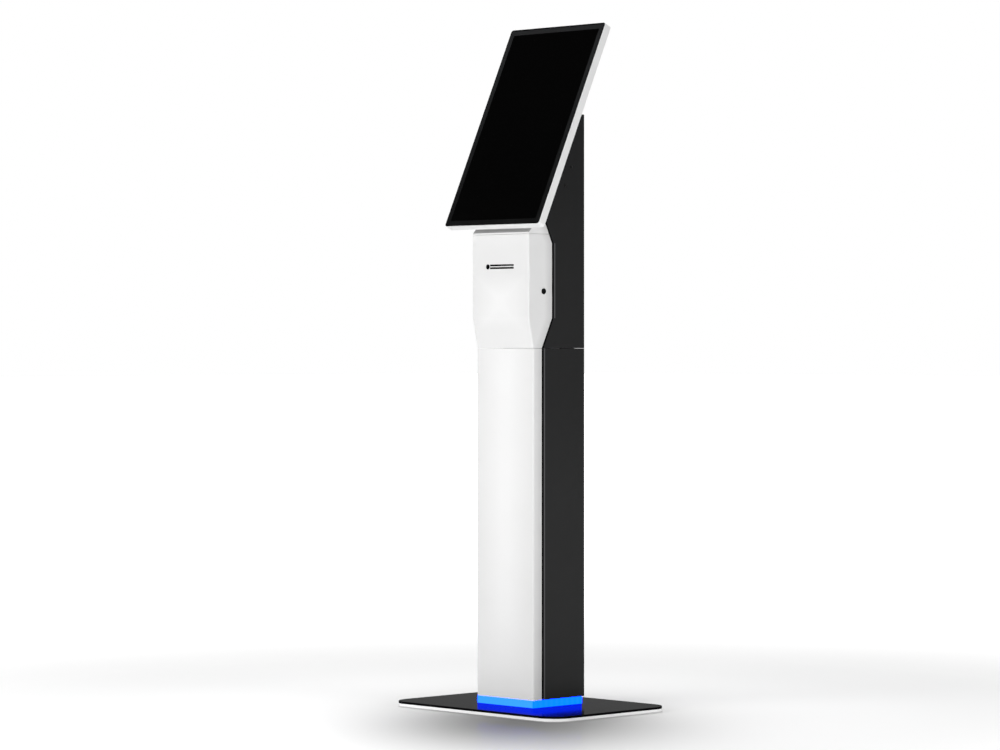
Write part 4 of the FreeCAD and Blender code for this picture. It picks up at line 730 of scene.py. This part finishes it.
rivet = {"round": 2.2 * mm, "tall": 0.7 * mm, "sunk": 0.3 * mm, "foot": 0.15, "dome": (25, 45, 65, 82),
         "leaf": 1.2 * mm, "inEdge": 8.0 * mm, "inEnd": 7.0 * mm}
for name in ("door_hinge_leaves", "body_hinge_leaves"):  # two rivets near each leaf's free edge
    shape = bmesh.new()
    for low, high in islandBoxes(name):
        free = low.y + rivet["inEdge"] if name == "door_hinge_leaves" else high.y - rivet["inEdge"]
        foot = rivet["foot"] * rivet["tall"]
        rings = [(rivet["round"], -rivet["sunk"]), (rivet["round"], foot)]
        rings += domeRings(rivet["round"], foot, rivet["tall"] - foot, rivet["dome"])
        for up in (low.z + rivet["inEnd"], high.z - rivet["inEnd"]):
            place = facingPlace((high.x - rivet["leaf"], free, up), (-1, 0, 0))
            stackRings(shape, rings, turned["sides"], place)
    crisp(shape)
    finishPiece(name + "_rivets", shape, name, replaced=False)

lens = {"radius": 5.75 * mm, "skirt": 6.75 * mm, "skirtTall": 1.2 * mm, "skirtEase": (0.97, 0.2 * mm),
        "proud": 0.9 * mm, "dome": (18, 36, 54, 70, 84)}
low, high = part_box("status_light")
shape = bmesh.new()
back = low[1] - high[1]
rings = [(lens["skirt"] * lens["skirtEase"][0], back), (lens["skirt"], back + lens["skirtEase"][1]),
         (lens["skirt"], back + lens["skirtTall"]), (lens["radius"], back + lens["skirtTall"]),
         (lens["radius"], 0)]
rings += domeRings(lens["radius"], 0, lens["proud"], lens["dome"])
spot = ((low[0] + high[0]) / 2, low[1], (low[2] + high[2]) / 2)
stackRings(shape, rings, turned["fineSides"], facingPlace(spot, (0, -1, 0)))
crisp(shape)
finishPiece("status_light_lens", shape, "status_light")
print("stage 4: screws, feet, rivets and lens turned")


# studio: pale floor, white backdrop for camera, metal and glass, soft lamps

floorLook = {"half": 60, "drop": 0.2 * mm, "colour": shade(0.86), "rise": (0.9, 3.5, 0.12, 1.0, "SMOOTHSTEP"),
             "roughness": 0.2, "specular": 0.0002}
shadow = {"way": (0.716, 0.698), "ahead": 0.29, "beside": -0.02, "shallow": 1.80, "narrow": 3.45,
          "dark": 0.77}
slit = {"halfX": 262 * mm, "halfY": 182 * mm, "corner": 48 * mm, "glow": 0.24}


def stageFloor():
    shape = bmesh.new()
    bmesh.ops.create_grid(shape, x_segments=1, y_segments=1, size=floorLook["half"])
    bmesh.ops.translate(shape, vec=(0, 0, -floorLook["drop"]), verts=shape.verts)
    mesh = bpy.data.meshes.new("floor")
    shape.to_mesh(mesh)
    shape.free()
    floor = bpy.data.objects.new("floor", mesh)
    bpy.context.scene.collection.objects.link(floor)
    finish = Finish("studio floor", Roughness=floorLook["roughness"], Emission_Color=shade(1.0),
                    Specular_IOR_Level=floorLook["specular"])
    where = finish.place()
    rise = finish.spread(finish.length(where), *floorLook["rise"])
    x, y = finish.axis(where, "X"), finish.axis(where, "Y")
    (wayX, wayY), corner = shadow["way"], slit["corner"]
    # one soft shadow under the base's front right corner
    ahead = (wayX * x - wayY * y - shadow["ahead"]) * shadow["shallow"]
    beside = (wayY * x + wayX * y - shadow["beside"]) * shadow["narrow"]
    lit = 1 - (0 - ahead * ahead - beside * beside).exponent() * shadow["dark"]
    pastX = (abs(x) - (slit["halfX"] - corner)).larger(0)
    pastY = (abs(y) - (slit["halfY"] - corner)).larger(0)
    under = pastX * pastX + pastY * pastY < corner ** 2  # painted light: the floor glows a little under the base plate, so the slit below it isn't quite black
    seen = finish.add("ShaderNodeLightPath", output="Is Camera Ray")
    finish.set(Base_Color=finish.mix(lit, shade(0.0), floorLook["colour"]))
    finish.set(Emission_Strength=seen * (rise * lit + slit["glow"] * under))
    mesh.materials.append(finish.material)


backdrop = {"horizon": 0.46, "ceiling": 0.22, "darkCeiling": 0.04, "fade": (0.30, 0.55, 1.0, 0.0)}


def buildWorld():
    world = bpy.data.worlds.new("studio")
    bpy.context.scene.world = world
    world.use_nodes = True
    graph = Graph(world.node_tree)
    rays = ("Is Camera Ray", "Is Glossy Ray", "Is Transmission Ray")
    seen, glossy, through = [graph.add("ShaderNodeLightPath", output=ray) for ray in rays]
    shiny = glossy.larger(through)
    high = graph.axis(graph.add("ShaderNodeTexCoord", output="Generated"), "Z")
    wall = graph.between(shiny, backdrop["horizon"], 1.0)
    roof = graph.between(shiny, backdrop["ceiling"], backdrop["darkCeiling"])
    level = graph.between(graph.spread(high, *backdrop["fade"]), roof, wall)
    sky = graph.tree.nodes["Background"]
    graph.feed(sky.inputs["Color"], shade(1.0))
    graph.feed(sky.inputs["Strength"], graph.between(seen, level, 1.0))


lamps = {
    "key": {"at": (-0.8, -2.9, 2.2), "aim": (0, 0, 0.8), "size": (1.3, 1.3), "power": 29},
    "fill": {"at": (0.25, -2.2, 0.62), "aim": (0, 0, 0.68), "size": (0.7, 0.7), "power": 20},
    "side": {"at": (3.2, 0.3, 0.75), "aim": (0, 0, 0.5), "size": (1.2, 1.0), "power": 34},
    "edge": {"at": (3.9, -3.9, 0.85), "aim": (0, 0, 0.8), "size": (0.25, 1.2), "power": 12},
    "top": {"at": (-0.43, 0.43, 2.9), "aim": (0.25, -0.25, 0), "size": (1.2, 1.2), "power": 50},
}


def hangLamp(name, look):
    light = bpy.data.lights.new(name, "AREA")
    light.shape = "RECTANGLE"
    light.size, light.size_y = look["size"]
    light.energy = look["power"]
    lamp = bpy.data.objects.new(name, light)
    lamp.location = look["at"]
    lamp.rotation_euler = (Vector(look["at"]) - Vector(look["aim"])).to_track_quat("Z", "Y").to_euler()
    lamp.visible_camera = False
    bpy.context.scene.collection.objects.link(lamp)


stageFloor()
buildWorld()
for name, look in lamps.items():
    hangLamp(name, look)
print("stage 5: floor, backdrop and lamps")

view = {"at": (5.7768, -5.7035, 0.8259), "turn": (90, 0, 45.831), "lens": 130.13, "sensor": 36,
        "shift": -0.0340, "clip": (0.05, 200)}
optics = bpy.data.cameras.new("photo")
optics.lens = view["lens"]
optics.sensor_width = view["sensor"]
optics.shift_y = view["shift"]
optics.clip_start, optics.clip_end = view["clip"]
camera = bpy.data.objects.new("photo", optics)
camera.location = view["at"]
camera.rotation_euler = [math.radians(angle) for angle in view["turn"]]
bpy.context.scene.collection.objects.link(camera)
bpy.context.scene.camera = camera
bpy.context.scene.view_settings.view_transform = "Standard"
print("stage 6: camera set")
